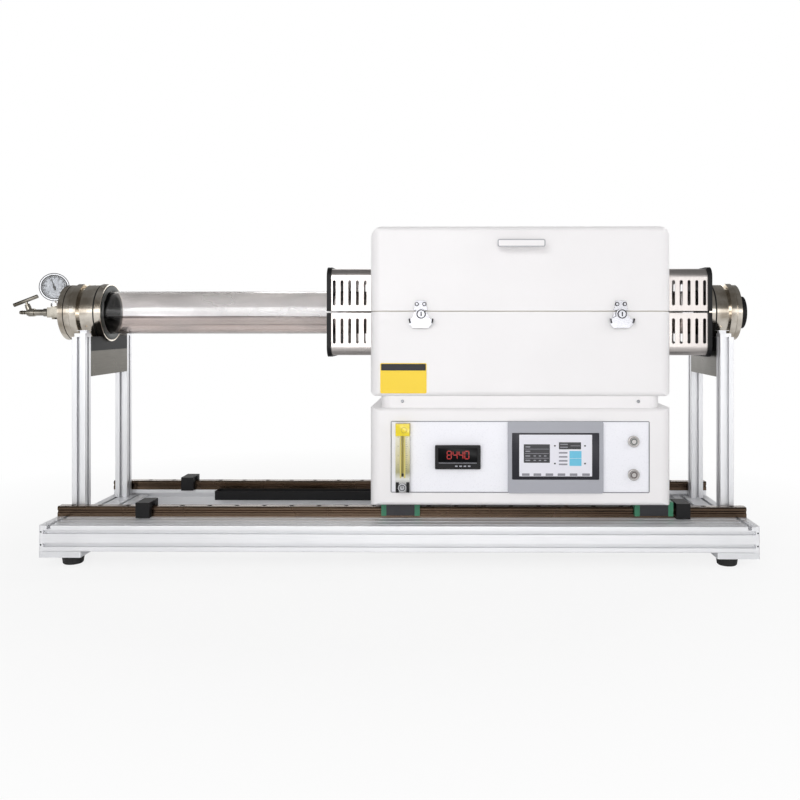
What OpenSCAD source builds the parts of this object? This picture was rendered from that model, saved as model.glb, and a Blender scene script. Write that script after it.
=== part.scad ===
// Sliding split-tube furnace on a two-beam base: quartz work tube, vacuum flanges,
// hinged furnace chamber on linear rails, control box with panel instruments.
// Millimetres. X runs along the tube, Y to the back, Z up. The floor is Z = 0.

/* [Base] */
// Length of the base beams and rails
base_l = 1500; // [1440:10:1700]
// Depth over both beams
base_d = 490; // [470:5:560]
// Height of a base beam
beam_h = 54; // [48:1:66]
// Width of a base beam
beam_w = 108; // [104:1:124]
// Width of the cross member and foot plate at each end
cross_w = 88; // [70:2:110]
// How far the cross members lie below the beam tops
cross_drop = 12; // [4:1:20]
// Thickness of the foot plates
foot_plate_t = 13; // [8:1:20]
// Diameter of the rubber feet
foot_d = 45; // [30:1:60]
// Height of the rubber feet
foot_h = 18; // [10:1:40]
// Distance from the base's end to a foot's middle
foot_in = 60; // [40:1:64]
// Thickness of the beam end caps
end_cap_t = 9; // [5:0.5:12]

/* [T-slots] */
// Width of a slot's mouth
slot_mouth = 8; // [5:0.5:9]
// Width of a slot's undercut
slot_wide = 15; // [12:0.5:16]
// Depth of a slot's lip
slot_lip = 3; // [2:0.5:4]
// Full depth of a slot
slot_deep = 8; // [6:0.5:9]
// Side of the square post profile
post_s = 30; // [28:1:40]

/* [Rails and carriages] */
// Distance from a beam's inner edge to the rail on it
rail_edge = 1.5; // [0:0.5:20]
// Width of a rail
rail_w = 23; // [20:1:28]
// Height of a rail
rail_h = 22; // [18:1:24]
// Pitch of the rail screws
rail_pitch = 60; // [40:5:80]
// Length of a carriage with its end caps
carriage_l = 83; // [70:1:100]
// Width of a carriage
carriage_w = 48; // [44:1:60]
// Height of a carriage's top above the beams
carriage_h = 36.5; // [34:0.5:46]
// Thickness of a carriage end cap
carriage_cap_t = 11; // [6:1:16]
// Distance between carriage centres on a rail
carriage_gap = 547; // [400:1:600]
// How far the carriages' middle lies to the right of the furnace's middle
carriage_shift = 17; // [-10:1:24]
// Clear gap between rail and carriage
rail_clear = 0.6; // [0.3:0.1:1]
// Length of a rail stop along the rail
stop_l = 30; // [20:1:40]
// Height of a rail stop above the beams
stop_h = 33; // [30:1:36]
// Gap left between the left guard and the clamp ring, at the end of the furnace's travel
travel_spare = 30; // [20:1:120]

/* [Cable trough] */
// Place of the trough's left end along the base
trough_x = -482; // [-560:1:-300]
// Length of the trough
trough_l = 542; // [300:1:700]
// Width of the trough
trough_w = 36; // [20:1:60]
// Height of the trough
trough_h = 22; // [15:1:40]

/* [Tube and posts] */
// Outer diameter of the work tube
tube_d = 100; // [80:1:104]
// Wall of the work tube
tube_wall = 3; // [2:0.5:6]
// Height of the tube axis above the beams
axis_h = 447; // [435:1:480]
// Distance from base centre to the posts' outer faces
post_reach = 732; // [722:1:735]
// Height of the post tops above the beams
post_top = 391; // [380:1:395]
// Gap between a post and the beam beside it
post_gap = 4; // [1:0.5:10]
// Height of the stainless saddle plate
saddle_h = 57; // [40:1:80]
// Height of the black cradle block
cradle_h = 32; // [30:1:40]

/* [Flanges] */
// Radius of the clamp rings
ring_r = 68; // [64:0.5:72]
// Radius of the seal sleeves and end flanges
sleeve_r = 65; // [62:0.5:68]
// Radius of the dark groove between sleeve and end flange
neck_r = 58; // [56:0.5:60]
// Thickness of a clamp ring
ring_t = 15; // [10:0.5:18]
// Length of the left seal sleeve's body
sleeve_l = 32; // [26:1:44]
// Length of the right seal sleeve's body
sleeve_l_right = 26; // [22:1:40]
// Length of the groove
neck_l = 8; // [5:0.5:12]
// Thickness of the left end flange
flange_t = 30; // [24:1:36]
// Thickness of the right end flange
flange_t_right = 26; // [22:1:36]
// Thickness of the left end plate
end_plate_t = 12; // [9:1:18]
// Thickness of a visible seal
seal_t = 2; // [1:0.5:3]
// Bore radius of the vacuum port
port_r = 25; // [16:0.5:30]
// Outer radius of the port's nozzle and cap
port_cap_r = 37.5; // [34:0.5:44]

/* [Gauge and valve] */
// Outer diameter of the gauge case
gauge_d = 66; // [50:1:80]
// Depth of the gauge case
gauge_t = 24; // [18:1:32]
// Height of the gauge centre above the tube axis
gauge_up = 60; // [52:1:80]
// Gap between the gauge and the end plate
gauge_gap = 1.5; // [1:0.5:6]
// Side of the square tee block
tee_s = 24; // [20:1:28]
// Diameter of the valve body
valve_d = 19; // [16:1:24]
// Length of the valve body
valve_l = 52; // [50:1:64]
// Length of the tapered hose tail
barb_l = 18; // [15:1:24]
// Bore of the hose tail
barb_bore = 4; // [2:0.5:5]
// Length of the valve's T bar
bar_l = 60; // [46:1:70]
// Diameter of the valve's T bar
bar_d = 9; // [7:0.5:12]

/* [Furnace chamber] */
// Gap between the right guard and the clamp ring, with the furnace at rest
rest_gap = 3; // [2:0.5:12]
// Length of the chamber and the control box
chamber_l = 637; // [600:1:700]
// Depth of the chamber and the control box
chamber_d = 426; // [400:1:440]
// Half height of the chamber
chamber_half = 180; // [160:1:200]
// Radius of the chamber's upright corners
corner_r = 22; // [12:1:30]
// Radius of the lid's upper end corners
shoulder_r = 28; // [14:1:36]
// Radius of the chamber's lower end corners
heel_r = 14; // [11:1:20]
// Radius of the chamber's long top and bottom edges
edge_r = 10; // [5:1:14]
// Sheet thickness of the white casings
sheet = 2; // [1.5:0.5:3]
// Gap between lid and chamber
part_gap = 2.4; // [1:0.2:4]
// Radius of the heated bore
bore_r = 62; // [60:1:80]
// Radius of the bore at its two ends
mouth_r = 56; // [54:0.5:58]
// Radius of the cut-outs in the casing's end walls, behind the guards
wall_hole_r = 74; // [66:1:78]
// Length of the narrow bore at each end
mouth_l = 45; // [30:1:80]
// Diameter of the heating wire
wire_d = 4; // [2:0.5:5]
// Number of heating rings in each half
wire_rings = 14; // [6:1:20]
// Distance from the furnace's middle to each latch and hinge
latch_x = 211; // [150:1:260]

/* [Tube guards] */
// Length of the left guard with its end trim
guard_l = 109; // [90:1:125]
// Length of the right guard with its end trim
guard_l_right = 119; // [100:1:120]
// Half height and half depth of a guard
guard_half = 98; // [90:1:110]
// Thickness of the black end trim
trim_t = 9.5; // [6:0.5:14]
// How far the trim stands proud of the guard
trim_proud = 3.5; // [1:0.5:6]
// Width of a vent slot
vent_w = 7; // [4:0.5:9]
// Height of a vent slot
vent_h = 57; // [30:1:60]
// Pitch of the vent slots
vent_pitch = 17.4; // [14:0.2:18]
// Radius of the guard's corners
guard_r = 20; // [10:1:26]

/* [Lid handle, latches and hinges] */
// Width of the lid handle
handle_w = 100; // [80:1:160]
// Height of the lid handle's bar
handle_t = 17; // [10:1:22]
// How far the handle stands out
handle_out = 30; // [28:1:32]
// Depth of the handle's top below the lid's top
handle_drop = 30; // [8:1:50]
// Width of a latch over its wings
wing_w = 52; // [40:1:60]
// Diameter of a hinge knuckle
knuckle_d = 14; // [11:0.5:16]
// Diameter of a hinge pin
hinge_pin_d = 6; // [4:0.5:8]

/* [Control box] */
// Height of the control box
box_h = 205.5; // [195:0.5:215]
// Radius of the control box's long edges
box_edge_r = 8; // [4:1:14]
// How far the plinth stands back from the box at its ends
plinth_end = 22; // [10:1:40]
// How far the plinth stands back from the box at front and back
plinth_back = 8; // [4:1:20]
// Width of the window for the instrument panel
window_w = 547; // [540:1:575]
// Height of the window for the instrument panel
window_h = 152; // [151:0.5:160]
// Height of the window's lower edge above the box's underside
window_up = 26.5; // [20:0.5:32]
// Thickness of the instrument panel
panel_t = 3; // [2:0.5:5]

/* [Instruments] */
// Width of the flow meter
flow_w = 30; // [24:1:36]
// Height of the flow meter
flow_h = 145; // [120:1:148]
// Width of the panel meter's bezel
meter_w = 96; // [80:1:110]
// Height of the panel meter's bezel
meter_h = 50; // [40:1:60]
// Width of the touch screen's bezel
screen_w = 201; // [180:1:206]
// Height of the touch screen's bezel
screen_h = 151; // [140:1:152]
// Diameter of the push buttons' rings
button_d = 24; // [20:1:28]
// Travel of a push button
button_travel = 3; // [1:0.5:4]

/* [Hidden] */
$fn = 64;

// Clearances
seat = 0.3;        // soft or curved pieces that only rest on each other
run = 0.05;        // shaft in its bore, on the radius
over = 1;          // how far a cutter runs past the face it cuts
cut = 2000;        // longer than the whole object

// Heights
beam_z0 = foot_h + foot_plate_t;
base_top = beam_z0 + beam_h;
cross_z1 = base_top - cross_drop;
axis_z = base_top + axis_h;
box_z0 = base_top + carriage_h;
box_z1 = box_z0 + box_h;
chamber_z0 = axis_z - chamber_half;
post_z1 = base_top + post_top;
cradle_z0 = post_z1 - cradle_h;
saddle_z0 = cradle_z0 - saddle_h;

// Depths
beam_in = base_d / 2 - beam_w;
front_y = -chamber_d / 2;
post_in = beam_in - post_gap - post_s;
rail_y = beam_in + rail_edge + rail_w / 2;
hinge_y = chamber_d / 2 + knuckle_d / 2 + 2;

// Places along X, measured from the base's middle
base_end = base_l / 2 - end_cap_t;
cap_r = 4;              // radius of the end caps' corners
cross_slot_in = 21;     // from the base's end to the slot across the beams
ring_lap = 5;           // how far the clamp ring reaches past the posts' inner faces
post_x = post_reach - post_s / 2;
ring_x0 = post_reach - post_s - ring_lap;
ring_x1 = ring_x0 + ring_t;
sleeve_x0 = ring_x1 + seal_t;
neck_left = sleeve_x0 + sleeve_l + neck_l;
neck_right = sleeve_x0 + sleeve_l_right + neck_l;
flange_left = neck_left + flange_t;
flange_right = neck_right + flange_t_right;
plate_x0 = flange_left + seal_t;
plate_x1 = plate_x0 + end_plate_t;
tube_short = 2;
tee_x0 = plate_x1;
gauge_turn = 25;
tee_x = tee_x0 + gauge_gap + gauge_d / 2 * cos(gauge_turn) + gauge_t / 2 * sin(gauge_turn);
valve_x0 = tee_x + tee_s / 2;
valve_x1 = valve_x0 + valve_l;
barb_x1 = valve_x1 + barb_l;
cap_t = 19.5;
nozzle_l = 4;
cap_x1 = flange_right + cap_t;
furnace_x = ring_x0 - rest_gap - guard_l_right - chamber_l / 2;
left_x = furnace_x - chamber_l / 2;
right_x = furnace_x + chamber_l / 2;
travel = left_x - guard_l + ring_x0 - travel_spare;
carriage_x = [for (s = [-1, 1]) furnace_x + carriage_shift + s * carriage_gap / 2];
bumper_l = 5;
bumper_gap = 1;
stop_right = carriage_x[1] + carriage_l / 2 + bumper_gap + bumper_l;
stop_left = carriage_x[0] - carriage_l / 2 - travel - bumper_gap - bumper_l;

// Valve stem: it leaves the valve body up and to the left
stem_tilt = 21;
stem_x = valve_x0 + valve_l - 6.5;
stem_l = 30;
bar_x = stem_x + stem_l * sin(stem_tilt);
bar_z = axis_z + stem_l * cos(stem_tilt);
reach_left = bar_x + bar_l / 2 * cos(stem_tilt) + bar_d / 2 * sin(stem_tilt);
reach_right = cap_x1;
mid_x = (reach_right - max(reach_left, barb_x1)) / 2;

// Instrument panel
window_x = furnace_x - 1;
window_z0 = box_z0 + window_up;
window_z1 = window_z0 + window_h;
panel_y1 = front_y + sheet + panel_t;
panel_lap = 8;
flow_x = window_x - window_w / 2 + 26;
flow_z0 = window_z0 + 2;
flow_out = 11;
flow_y = front_y + 4;
flow_seat = 30;
meter_x = window_x - window_w / 2 + 142;
meter_z = window_z0 + 76;
screen_x = window_x + 74.5;
screen_z = window_z0 + window_h / 2;
button_x = window_x + window_w / 2 - 34;
button_z = [window_z0 + 39, window_z0 + 109];
button_r = 8;
heater_r = bore_r - wire_d / 2 - 0.5;

// Power unit: transformer core with two coils, and a finned sink with its cover
core = [120, 90, 100];
core_x = 150;
core_y = 60;
core_foot = 15;
coil_out = 11;
sink = [110, 70, 66];
sink_x = 120;
sink_y = 70;
sink_base = 20;
sink_cover = 6;
sink_fins = 11;
fin_pitch = 10.4;
fin_t = 2.4;

// ---------- helpers ----------

// Rectangle with round corners, centred
module round_rect(w, h, r) {
    square([w - 2 * r, h], center = true);
    square([w, h - 2 * r], center = true);
    for (sx = [-1, 1], sy = [-1, 1]) translate([sx * (w / 2 - r), sy * (h / 2 - r)]) circle(r);
}

// A (Y, Z) outline drawn out along X from x0 to x1
module along_x(x0, x1) translate([x0, 0, 0]) rotate([90, 0, 90]) linear_extrude(x1 - x0) children();

// An (X, Z) outline drawn out along Y from y0 to y1
module along_y(y0, y1) translate([0, y1, 0]) rotate([90, 0, 0]) linear_extrude(y1 - y0) children();

// Round bar on the tube axis from x0 to x1
module axle(x0, x1, r) translate([x0, 0, axis_z]) rotate([0, 90, 0]) cylinder(h = x1 - x0, r = r);

// Round bar along Y
module peg_y(x, y0, y1, z, r) translate([x, y1, z]) rotate([90, 0, 0]) cylinder(h = y1 - y0, r = r);

// Box from its low corner to its high corner
module block(lo, hi) translate(lo) cube(hi - lo);

// Copies at both ends of the base: the right one as drawn, the left one mirrored
module both_ends() {
    children();
    mirror([1, 0, 0]) children();
}

// Copies at front and back
module both_sides() {
    children();
    mirror([0, 1, 0]) children();
}

// The T-shaped slot of an extrusion, opening upwards at the origin
module slot_2d() {
    translate([-slot_mouth / 2, -slot_lip - over]) square([slot_mouth, slot_lip + 2 * over]);
    translate([0, -slot_lip]) polygon([
        [-slot_wide / 2, 0], [slot_wide / 2, 0], [slot_wide / 2, -1.5],
        [slot_mouth / 2 + 1, slot_lip - slot_deep], [-slot_mouth / 2 - 1, slot_lip - slot_deep],
        [-slot_wide / 2, -1.5]]);
}

// Extrusion outline, w by h, with slots at the given counts along each side
module extrusion_2d(w, h, nw, nh) {
    pw = w / nw;
    ph = h / nh;
    difference() {
        round_rect(w, h, 1.5);
        for (i = [0 : nw - 1], s = [0, 180]) rotate(s) translate([-w / 2 + pw * (i + 0.5), h / 2]) slot_2d();
        for (i = [0 : nh - 1], s = [90, -90]) rotate(s) translate([-h / 2 + ph * (i + 0.5), w / 2]) slot_2d();
        for (i = [0 : nw - 1], j = [0 : nh - 1])
            translate([-w / 2 + pw * (i + 0.5), -h / 2 + ph * (j + 0.5)]) circle(2.6);
    }
}

// ---------- base ----------

// Long beams; a cut across each end lets nuts into the top slots
module side_beams() color("gainsboro") difference() {
    both_sides() along_x(-base_end, base_end)
        translate([beam_in + beam_w / 2, beam_z0 + beam_h / 2]) extrusion_2d(beam_w, beam_h, 4, 2);
    both_ends() translate([base_l / 2 - cross_slot_in - slot_mouth / 2, -base_d, base_top - slot_deep])
        cube([slot_mouth, 2 * base_d, slot_deep + over]);
}

// Cross members between the beams, each on its foot plate, which runs under both beams
module cross_members() color("lightgray") both_ends() {
    cross_mid = base_l / 2 - cross_w / 2;
    cross_h = cross_z1 - beam_z0;
    translate([cross_mid, 0, beam_z0 + cross_h / 2])
        along_y(-beam_in, beam_in) extrusion_2d(cross_w, cross_h, 2, 1);
    difference() {
        translate([cross_mid, 0, foot_h]) linear_extrude(foot_plate_t) round_rect(cross_w, base_d, 3);
        for (x = [-1, 1], y = [-1, 1])
            translate([cross_mid + x * cross_w / 3, y * (base_d / 2 - 0.25 * beam_w), foot_h - over])
                cylinder(h = 6 + over, r = 5.5);
    }
}

module rubber_feet() color("#1c1c1c") both_ends() both_sides()
    translate([base_l / 2 - foot_in, base_d / 2 - foot_d / 2 - 6, 0]) difference() {
        rotate_extrude() polygon([
            [0, 0], [foot_d / 2 - 4, 0], [foot_d / 2 - 2, 2], [foot_d / 2, foot_h - 3],
            [foot_d / 2, foot_h], [0, foot_h]]);
        translate([0, 0, -over]) cylinder(h = foot_h / 2 + over, r = 6);
    }

// Moulded covers on the beams' ends, round at the outer corners, with two screws at the front
module beam_end_caps() color("silver") both_ends() both_sides() difference() {
    translate([base_end, beam_in, beam_z0]) linear_extrude(beam_h) {
        square([end_cap_t - cap_r, beam_w]);
        translate([0, cap_r]) square([end_cap_t, beam_w - 2 * cap_r]);
        for (y = [cap_r, beam_w - cap_r]) translate([end_cap_t - cap_r, y]) circle(cap_r);
    }
    for (j = [0.25, 0.75])
        peg_y(base_end + end_cap_t / 2, base_d / 2 - 4, base_d / 2 + over, beam_z0 + j * beam_h, 1.8);
    for (i = [0, 3], j = [0.25, 0.75])
        translate([base_l / 2 - 2, beam_in + beam_w / 8 + i * beam_w / 4, beam_z0 + j * beam_h])
            rotate([0, 90, 0]) cylinder(h = 2 + over, r = 4);
}

// ---------- rails ----------

module rail_2d() {
    w = rail_w / 2;
    polygon([
        [-w, 0], [w, 0], [w, 0.36 * rail_h], [w - 2.2, 0.42 * rail_h], [w - 2.2, 0.55 * rail_h],
        [w, 0.68 * rail_h], [w, 0.84 * rail_h], [w - 2, rail_h], [-w + 2, rail_h], [-w, 0.84 * rail_h],
        [-w, 0.68 * rail_h], [-w + 2.2, 0.55 * rail_h], [-w + 2.2, 0.42 * rail_h], [-w, 0.36 * rail_h]]);
}

module linear_rails() {
    holes = floor(base_l / rail_pitch);
    first = -(holes - 1) * rail_pitch / 2;
    color("#6e5a48") for (s = [-1, 1]) difference() {
        along_x(-base_l / 2, base_l / 2) translate([s * rail_y, base_top]) rail_2d();
        for (i = [0 : holes - 1]) translate([first + i * rail_pitch, s * rail_y, base_top - over]) {
            cylinder(h = rail_h + 2 * over, r = 3.5);
            translate([0, 0, over + rail_h - 9]) cylinder(h = 9 + over, r = 5.5);
        }
    }
}

// Outline of a block that straddles a rail: w wide, from z0 to z1 above the beams
module saddle_2d(w, z0, z1) difference() {
    translate([-w / 2, z0]) square([w, z1 - z0]);
    translate([-rail_w / 2 - rail_clear, z0 - over]) square([rail_w + 2 * rail_clear, rail_h + rail_clear - z0 + over]);
}

module rail_stops() {
    stop_w = carriage_w + 6;
    color("#202020") for (s = [-1, 1], e = [0, 1]) {
        x0 = e == 0 ? stop_left - stop_l : stop_right;
        along_x(x0, x0 + stop_l) translate([s * rail_y, base_top]) saddle_2d(stop_w, 0, stop_h);
        bx = e == 0 ? x0 + stop_l : x0 - bumper_l;
        translate([bx, s * rail_y, base_top + (rail_h + stop_h) / 2])
            rotate([0, 90, 0]) cylinder(h = bumper_l, r = (stop_h - rail_h) / 2 - 1);
    }
}

// Cable trough bolted to the rear beam's inner face, just clear of the carriages above it
module cable_trough() {
    t = 2;
    z1 = base_top + 3;
    z0 = z1 - trough_h;
    x1 = trough_x + trough_l;
    color("#191919") difference() {
        block([trough_x, beam_in - trough_w, z0], [x1, beam_in, z1]);
        block([trough_x + t, beam_in - trough_w + t, z0 + t], [x1 - t, beam_in - t, z1 + over]);
        for (i = [1, 5, 9]) peg_y(trough_x + i * trough_l / 10, beam_in - t - over, beam_in + over, (z0 + z1) / 2, 3);
    }
}

// ---------- posts and saddles ----------

module support_posts() color("gainsboro") both_ends() both_sides()
    translate([post_x, post_in + post_s / 2, cross_z1])
        linear_extrude(post_z1 - cross_z1) extrusion_2d(post_s, post_s, 1, 1);

// Stainless bracket between a post pair: upright plate, shelf under the cradle, bolted side tabs
module saddle_plates() {
    t = 2;
    x_in = post_reach - post_s;
    color("#7d7f82") both_ends() {
        block([x_in, -post_in, saddle_z0], [x_in + t, post_in, cradle_z0]);
        block([x_in, -post_in + seat, cradle_z0 - t], [post_reach, post_in - seat, cradle_z0]);
        both_sides() difference() {
            block([x_in, post_in - t, saddle_z0], [post_reach - 2, post_in, cradle_z0]);
            for (z = [0.25, 0.75])
                peg_y(post_x, post_in - t - over, post_in + over, saddle_z0 + z * saddle_h, 3.2);
        }
    }
}

// Black block between the posts, hollowed to the clamp ring that rests in it
module tube_cradles() color("#1a1a1a") both_ends() difference() {
    block([post_reach - post_s, -post_in + seat, cradle_z0], [post_reach, post_in - seat, post_z1]);
    axle(post_reach - post_s - 3, post_reach + over, ring_r + seat);
}

module post_caps() color("lightgray") both_ends() both_sides()
    translate([post_reach - post_s, post_in, post_z1]) difference() {
        union() {
            cube([0.8 * post_s, post_s, 8]);
            translate([0, post_s / 4, 0]) cube([0.5 * post_s, post_s / 2, 14]);
        }
        translate([0.65 * post_s, post_s / 2, -over]) cylinder(h = 8 + 2 * over, r = 2.6);
    }

// ---------- tube and flanges ----------

module quartz_tube() color("#cfd8dc", 0.45) difference() {
    axle(tube_short - neck_left, neck_right - tube_short, tube_d / 2);
    axle(-neck_left, neck_right, tube_d / 2 - tube_wall);
}

// Fibre plugs that close the heated zone inside the tube, each with a wire pull
module tube_plugs() {
    plug_r = tube_d / 2 - tube_wall - seat;
    plug_l = 70;
    color("#f2efe6") for (s = [-1, 1]) {
        x = furnace_x + s * (chamber_l / 2 + 30);
        axle(x - plug_l / 2, x + plug_l / 2, plug_r);
        pull = x + s * (plug_l / 2 + 6);
        axle(pull - 7, pull + 7, 2);
    }
}

module clamp_rings() color("#b9b2a3") both_ends() difference() {
    axle(ring_x0, ring_x1, ring_r);
    axle(ring_x0 - over, ring_x1 + over, tube_d / 2 + seat);
    for (a = [30, 150, 270]) translate([ring_x0 + ring_t / 2, 0, axis_z]) rotate([a, 0, 0])
        translate([0, 0, ring_r - 5]) cylinder(h = 5 + over, r = 2.5);
}

// Turned sleeve, drawn at the right end: body, neck and the seal's conical seat
module seal_sleeve(x1) difference() {
    union() {
        axle(sleeve_x0, x1 - neck_l, sleeve_r);
        axle(x1 - neck_l, x1, neck_r);
    }
    axle(sleeve_x0 - over, x1 + over, tube_d / 2 + seat);
    translate([sleeve_x0, 0, axis_z]) rotate([0, 90, 0])
        cylinder(h = 6, r1 = tube_d / 2 + 6, r2 = tube_d / 2 + seat);
    for (a = [0, 120, 240]) translate([x1 - neck_l - 13, 0, axis_z]) rotate([a, 0, 0])
        translate([0, 0, sleeve_r - 4]) cylinder(h = 4 + over, r = 2.2);
}

module seal_sleeves() color("#c4bdae") {
    seal_sleeve(neck_right);
    mirror([1, 0, 0]) seal_sleeve(neck_left);
}

// End flange, drawn at the right end: two steps and a turned line outside, a pocket inside
module end_flange(x0, t, port) {
    step = x0 + 0.55 * t;
    difference() {
        union() {
            axle(x0, step, ring_r);
            axle(step, x0 + t, sleeve_r);
        }
        axle(x0 - over, x0 + t / 2, tube_d / 2 + 1);
        axle(x0, x0 + t + over, port);
        translate([step, 0, axis_z]) rotate_extrude_x()
            polygon([[sleeve_r - 1.2, -1], [ring_r + 1, -1], [ring_r + 1, 1], [sleeve_r - 1.2, 1]]);
    }
}

// A ring whose outline is given as (radius, place along X)
module rotate_extrude_x() rotate([0, 90, 0]) rotate_extrude() children();

// Left: end plate with the gas port that carries the tee
module left_end_flange() color("#bdb6a8") mirror([1, 0, 0]) {
    end_flange(neck_left, flange_t, neck_r - 18);
    difference() {
        axle(plate_x0, plate_x1, sleeve_r);
        axle(plate_x0 - over, plate_x1 + over, 5);
        for (a = [60, 180, 300]) translate([0, 0, axis_z]) rotate([a, 0, 0])
            translate([plate_x1 - 7, 0, 0.76 * sleeve_r]) rotate([0, 90, 0]) cylinder(h = 7 + over, r = 5.2);
    }
}

// Right: a short nozzle for the vacuum port
module right_end_flange() color("#bdb6a8") difference() {
    union() {
        end_flange(neck_right, flange_t_right, port_r);
        axle(flange_right - over, flange_right + nozzle_l, port_cap_r - 3);
    }
    axle(neck_right, flange_right + nozzle_l + over, port_r);
}

module flange_seals() color("#151515") {
    both_ends() difference() {
        axle(ring_x1, sleeve_x0, sleeve_r - 1);
        axle(ring_x1 - over, sleeve_x0 + over, tube_d / 2 + seat);
    }
    mirror([1, 0, 0]) difference() {
        axle(flange_left, plate_x0, sleeve_r - 1.5);
        axle(flange_left - over, plate_x0 + over, sleeve_r - 8);
    }
}

// Cap screws in the left end plate and the clamp rings' lock screws
module flange_screws() color("#8d8d8d") {
    mirror([1, 0, 0]) for (a = [60, 180, 300]) translate([0, 0, axis_z]) rotate([a, 0, 0])
        translate([plate_x1 - 7, 0, 0.76 * sleeve_r]) rotate([0, 90, 0]) difference() {
            cylinder(h = 6, r = 5);
            translate([0, 0, 3]) cylinder(h = 4, r = 2.5, $fn = 6);
        }
    both_ends() for (a = [30, 150, 270]) translate([ring_x0 + ring_t / 2, 0, axis_z]) rotate([a, 0, 0])
        translate([0, 0, ring_r - 5]) difference() {
            cylinder(h = 4, r = 2.4);
            translate([0, 0, 2]) cylinder(h = 3, r = 1.2, $fn = 6);
        }
}

// Vacuum port cap: a black disc with a skirt over the nozzle
module port_cap() color("#111111") difference() {
    axle(flange_right + seat, cap_x1, port_cap_r);
    axle(flange_right - over, flange_right + nozzle_l + seat, port_cap_r - 3 + seat);
    axle(cap_x1 - 2, cap_x1 + over, port_cap_r - 6);
}

// ---------- gauge and valve, drawn on the left end ----------

module gauge_tee() color("#9a958a") translate([-tee_x, 0, axis_z]) difference() {
    union() {
        translate([-tee_s / 2, -tee_s / 2, -tee_s / 2]) cube(tee_s);
        rotate([0, 90, 0]) cylinder(h = tee_x - tee_x0, r = 7);
        cylinder(h = tee_s / 2 + 3, r = 8);
        translate([0, 0, -tee_s / 2 - 4]) cylinder(h = tee_s, r = 7, $fn = 6);
    }
    rotate([0, 90, 0]) cylinder(h = 2 * tee_s, r = 2.5);
    cylinder(h = tee_s, r = 2.5);
    rotate([0, -90, 0]) cylinder(h = tee_s, r = 2.5);
}

// The gauge is turned about its stem, so that it is read from the furnace
module turned_gauge() translate([-tee_x, 0, 0]) rotate([0, 0, gauge_turn]) children();

module gauge_case() {
    r = gauge_d / 2;
    z = axis_z + gauge_up;
    color("#d0d0d0") turned_gauge() difference() {
        union() {
            peg_y(0, -gauge_t / 2 + 5, gauge_t / 2, z, r - 1.5);
            peg_y(0, -gauge_t / 2, -gauge_t / 2 + 5, z, r);
            translate([0, 0, axis_z + tee_s / 2 + 3]) cylinder(h = gauge_up - tee_s / 2 - r + 3, r = 6);
            translate([0, 0, axis_z + tee_s / 2 + 3]) cylinder(h = 7, r = 8, $fn = 6);
        }
        peg_y(0, -gauge_t / 2 - over, -gauge_t / 2 + 12, z, r - 4);
    }
}

module gauge_dial() color("white") turned_gauge()
    peg_y(0, -gauge_t / 2 + 10, -gauge_t / 2 + 12, axis_z + gauge_up, gauge_d / 2 - 4.1);

module gauge_glass() color("#dfe9ee", 0.3) turned_gauge()
    peg_y(0, -gauge_t / 2 + 1, -gauge_t / 2 + 3, axis_z + gauge_up, gauge_d / 2 - 4.1);

module gauge_needle() {
    z = axis_z + gauge_up;
    y = -gauge_t / 2 + 8;
    r = gauge_d / 2 - 4;
    color("#101010") turned_gauge() {
        peg_y(0, y - 2, y + 1.7, z, 3.2);
        translate([0, 0, z]) rotate([0, -18, 0])
            along_y(y - 0.8, y) polygon([[-2, -0.24 * r], [2, -0.24 * r], [0.5, 0.72 * r], [-0.5, 0.72 * r]]);
    }
}

// Needle valve with its hose tail
module valve_body() color("#a8a296") difference() {
    union() {
        axle(-valve_x1, -valve_x0, valve_d / 2 - 2);
        axle(-valve_x1 + 4, -valve_x1 + 18, valve_d / 2);
        axle(-valve_x0 - 12, -valve_x0 - 3, valve_d / 2);
        for (i = [0 : 2]) translate([-barb_x1 + i * barb_l / 3, 0, axis_z]) rotate([0, 90, 0])
            cylinder(h = barb_l / 3, r1 = 3.8, r2 = 5.2);
        translate([-stem_x, 0, axis_z]) rotate([0, -stem_tilt, 0]) cylinder(h = stem_l * 0.55, r = 6.5);
    }
    axle(-barb_x1 - over, -valve_x0 + over, barb_bore / 2);
    translate([-stem_x, 0, axis_z]) rotate([0, -stem_tilt, 0]) translate([0, 0, 8])
        cylinder(h = stem_l, r = 3 + run);
}

module valve_handle() color("#b4afa4") translate([-stem_x, 0, axis_z]) rotate([0, -stem_tilt, 0]) {
    translate([0, 0, 9]) cylinder(h = stem_l - 9, r = 3);
    translate([0, 0, stem_l * 0.55 + 1]) cylinder(h = 3, r = 6);
    translate([-bar_l / 2, 0, stem_l]) rotate([0, 90, 0]) cylinder(h = bar_l, r = bar_d / 2);
}

// ---------- carriages ----------

module carriages() color("#2b2b2b") for (x = carriage_x, s = [-1, 1])
    along_x(x - carriage_l / 2 + carriage_cap_t, x + carriage_l / 2 - carriage_cap_t)
        translate([s * rail_y, base_top]) saddle_2d(carriage_w, 6, carriage_h);

module carriage_end_caps() color("#3f8f6b") for (x = carriage_x, s = [-1, 1], e = [-1, 1]) {
    x0 = e < 0 ? x - carriage_l / 2 : x + carriage_l / 2 - carriage_cap_t;
    along_x(x0, x0 + carriage_cap_t) translate([s * rail_y, base_top]) saddle_2d(carriage_w - 2, 5, carriage_h - 1);
}

// ---------- control box ----------

// Box form with round uprights and round long edges, inset all round
module box_form(inset) intersection() {
    translate([furnace_x, 0, box_z0 + inset]) linear_extrude(box_h - 2 * inset)
        round_rect(chamber_l - 2 * inset, chamber_d - 2 * inset, corner_r - inset);
    along_x(left_x, right_x) translate([0, box_z0 + box_h / 2])
        round_rect(chamber_d - 2 * inset, box_h - 2 * inset, box_edge_r - inset);
}

rear_w = window_w;
rear_h = box_h - 50;

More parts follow.
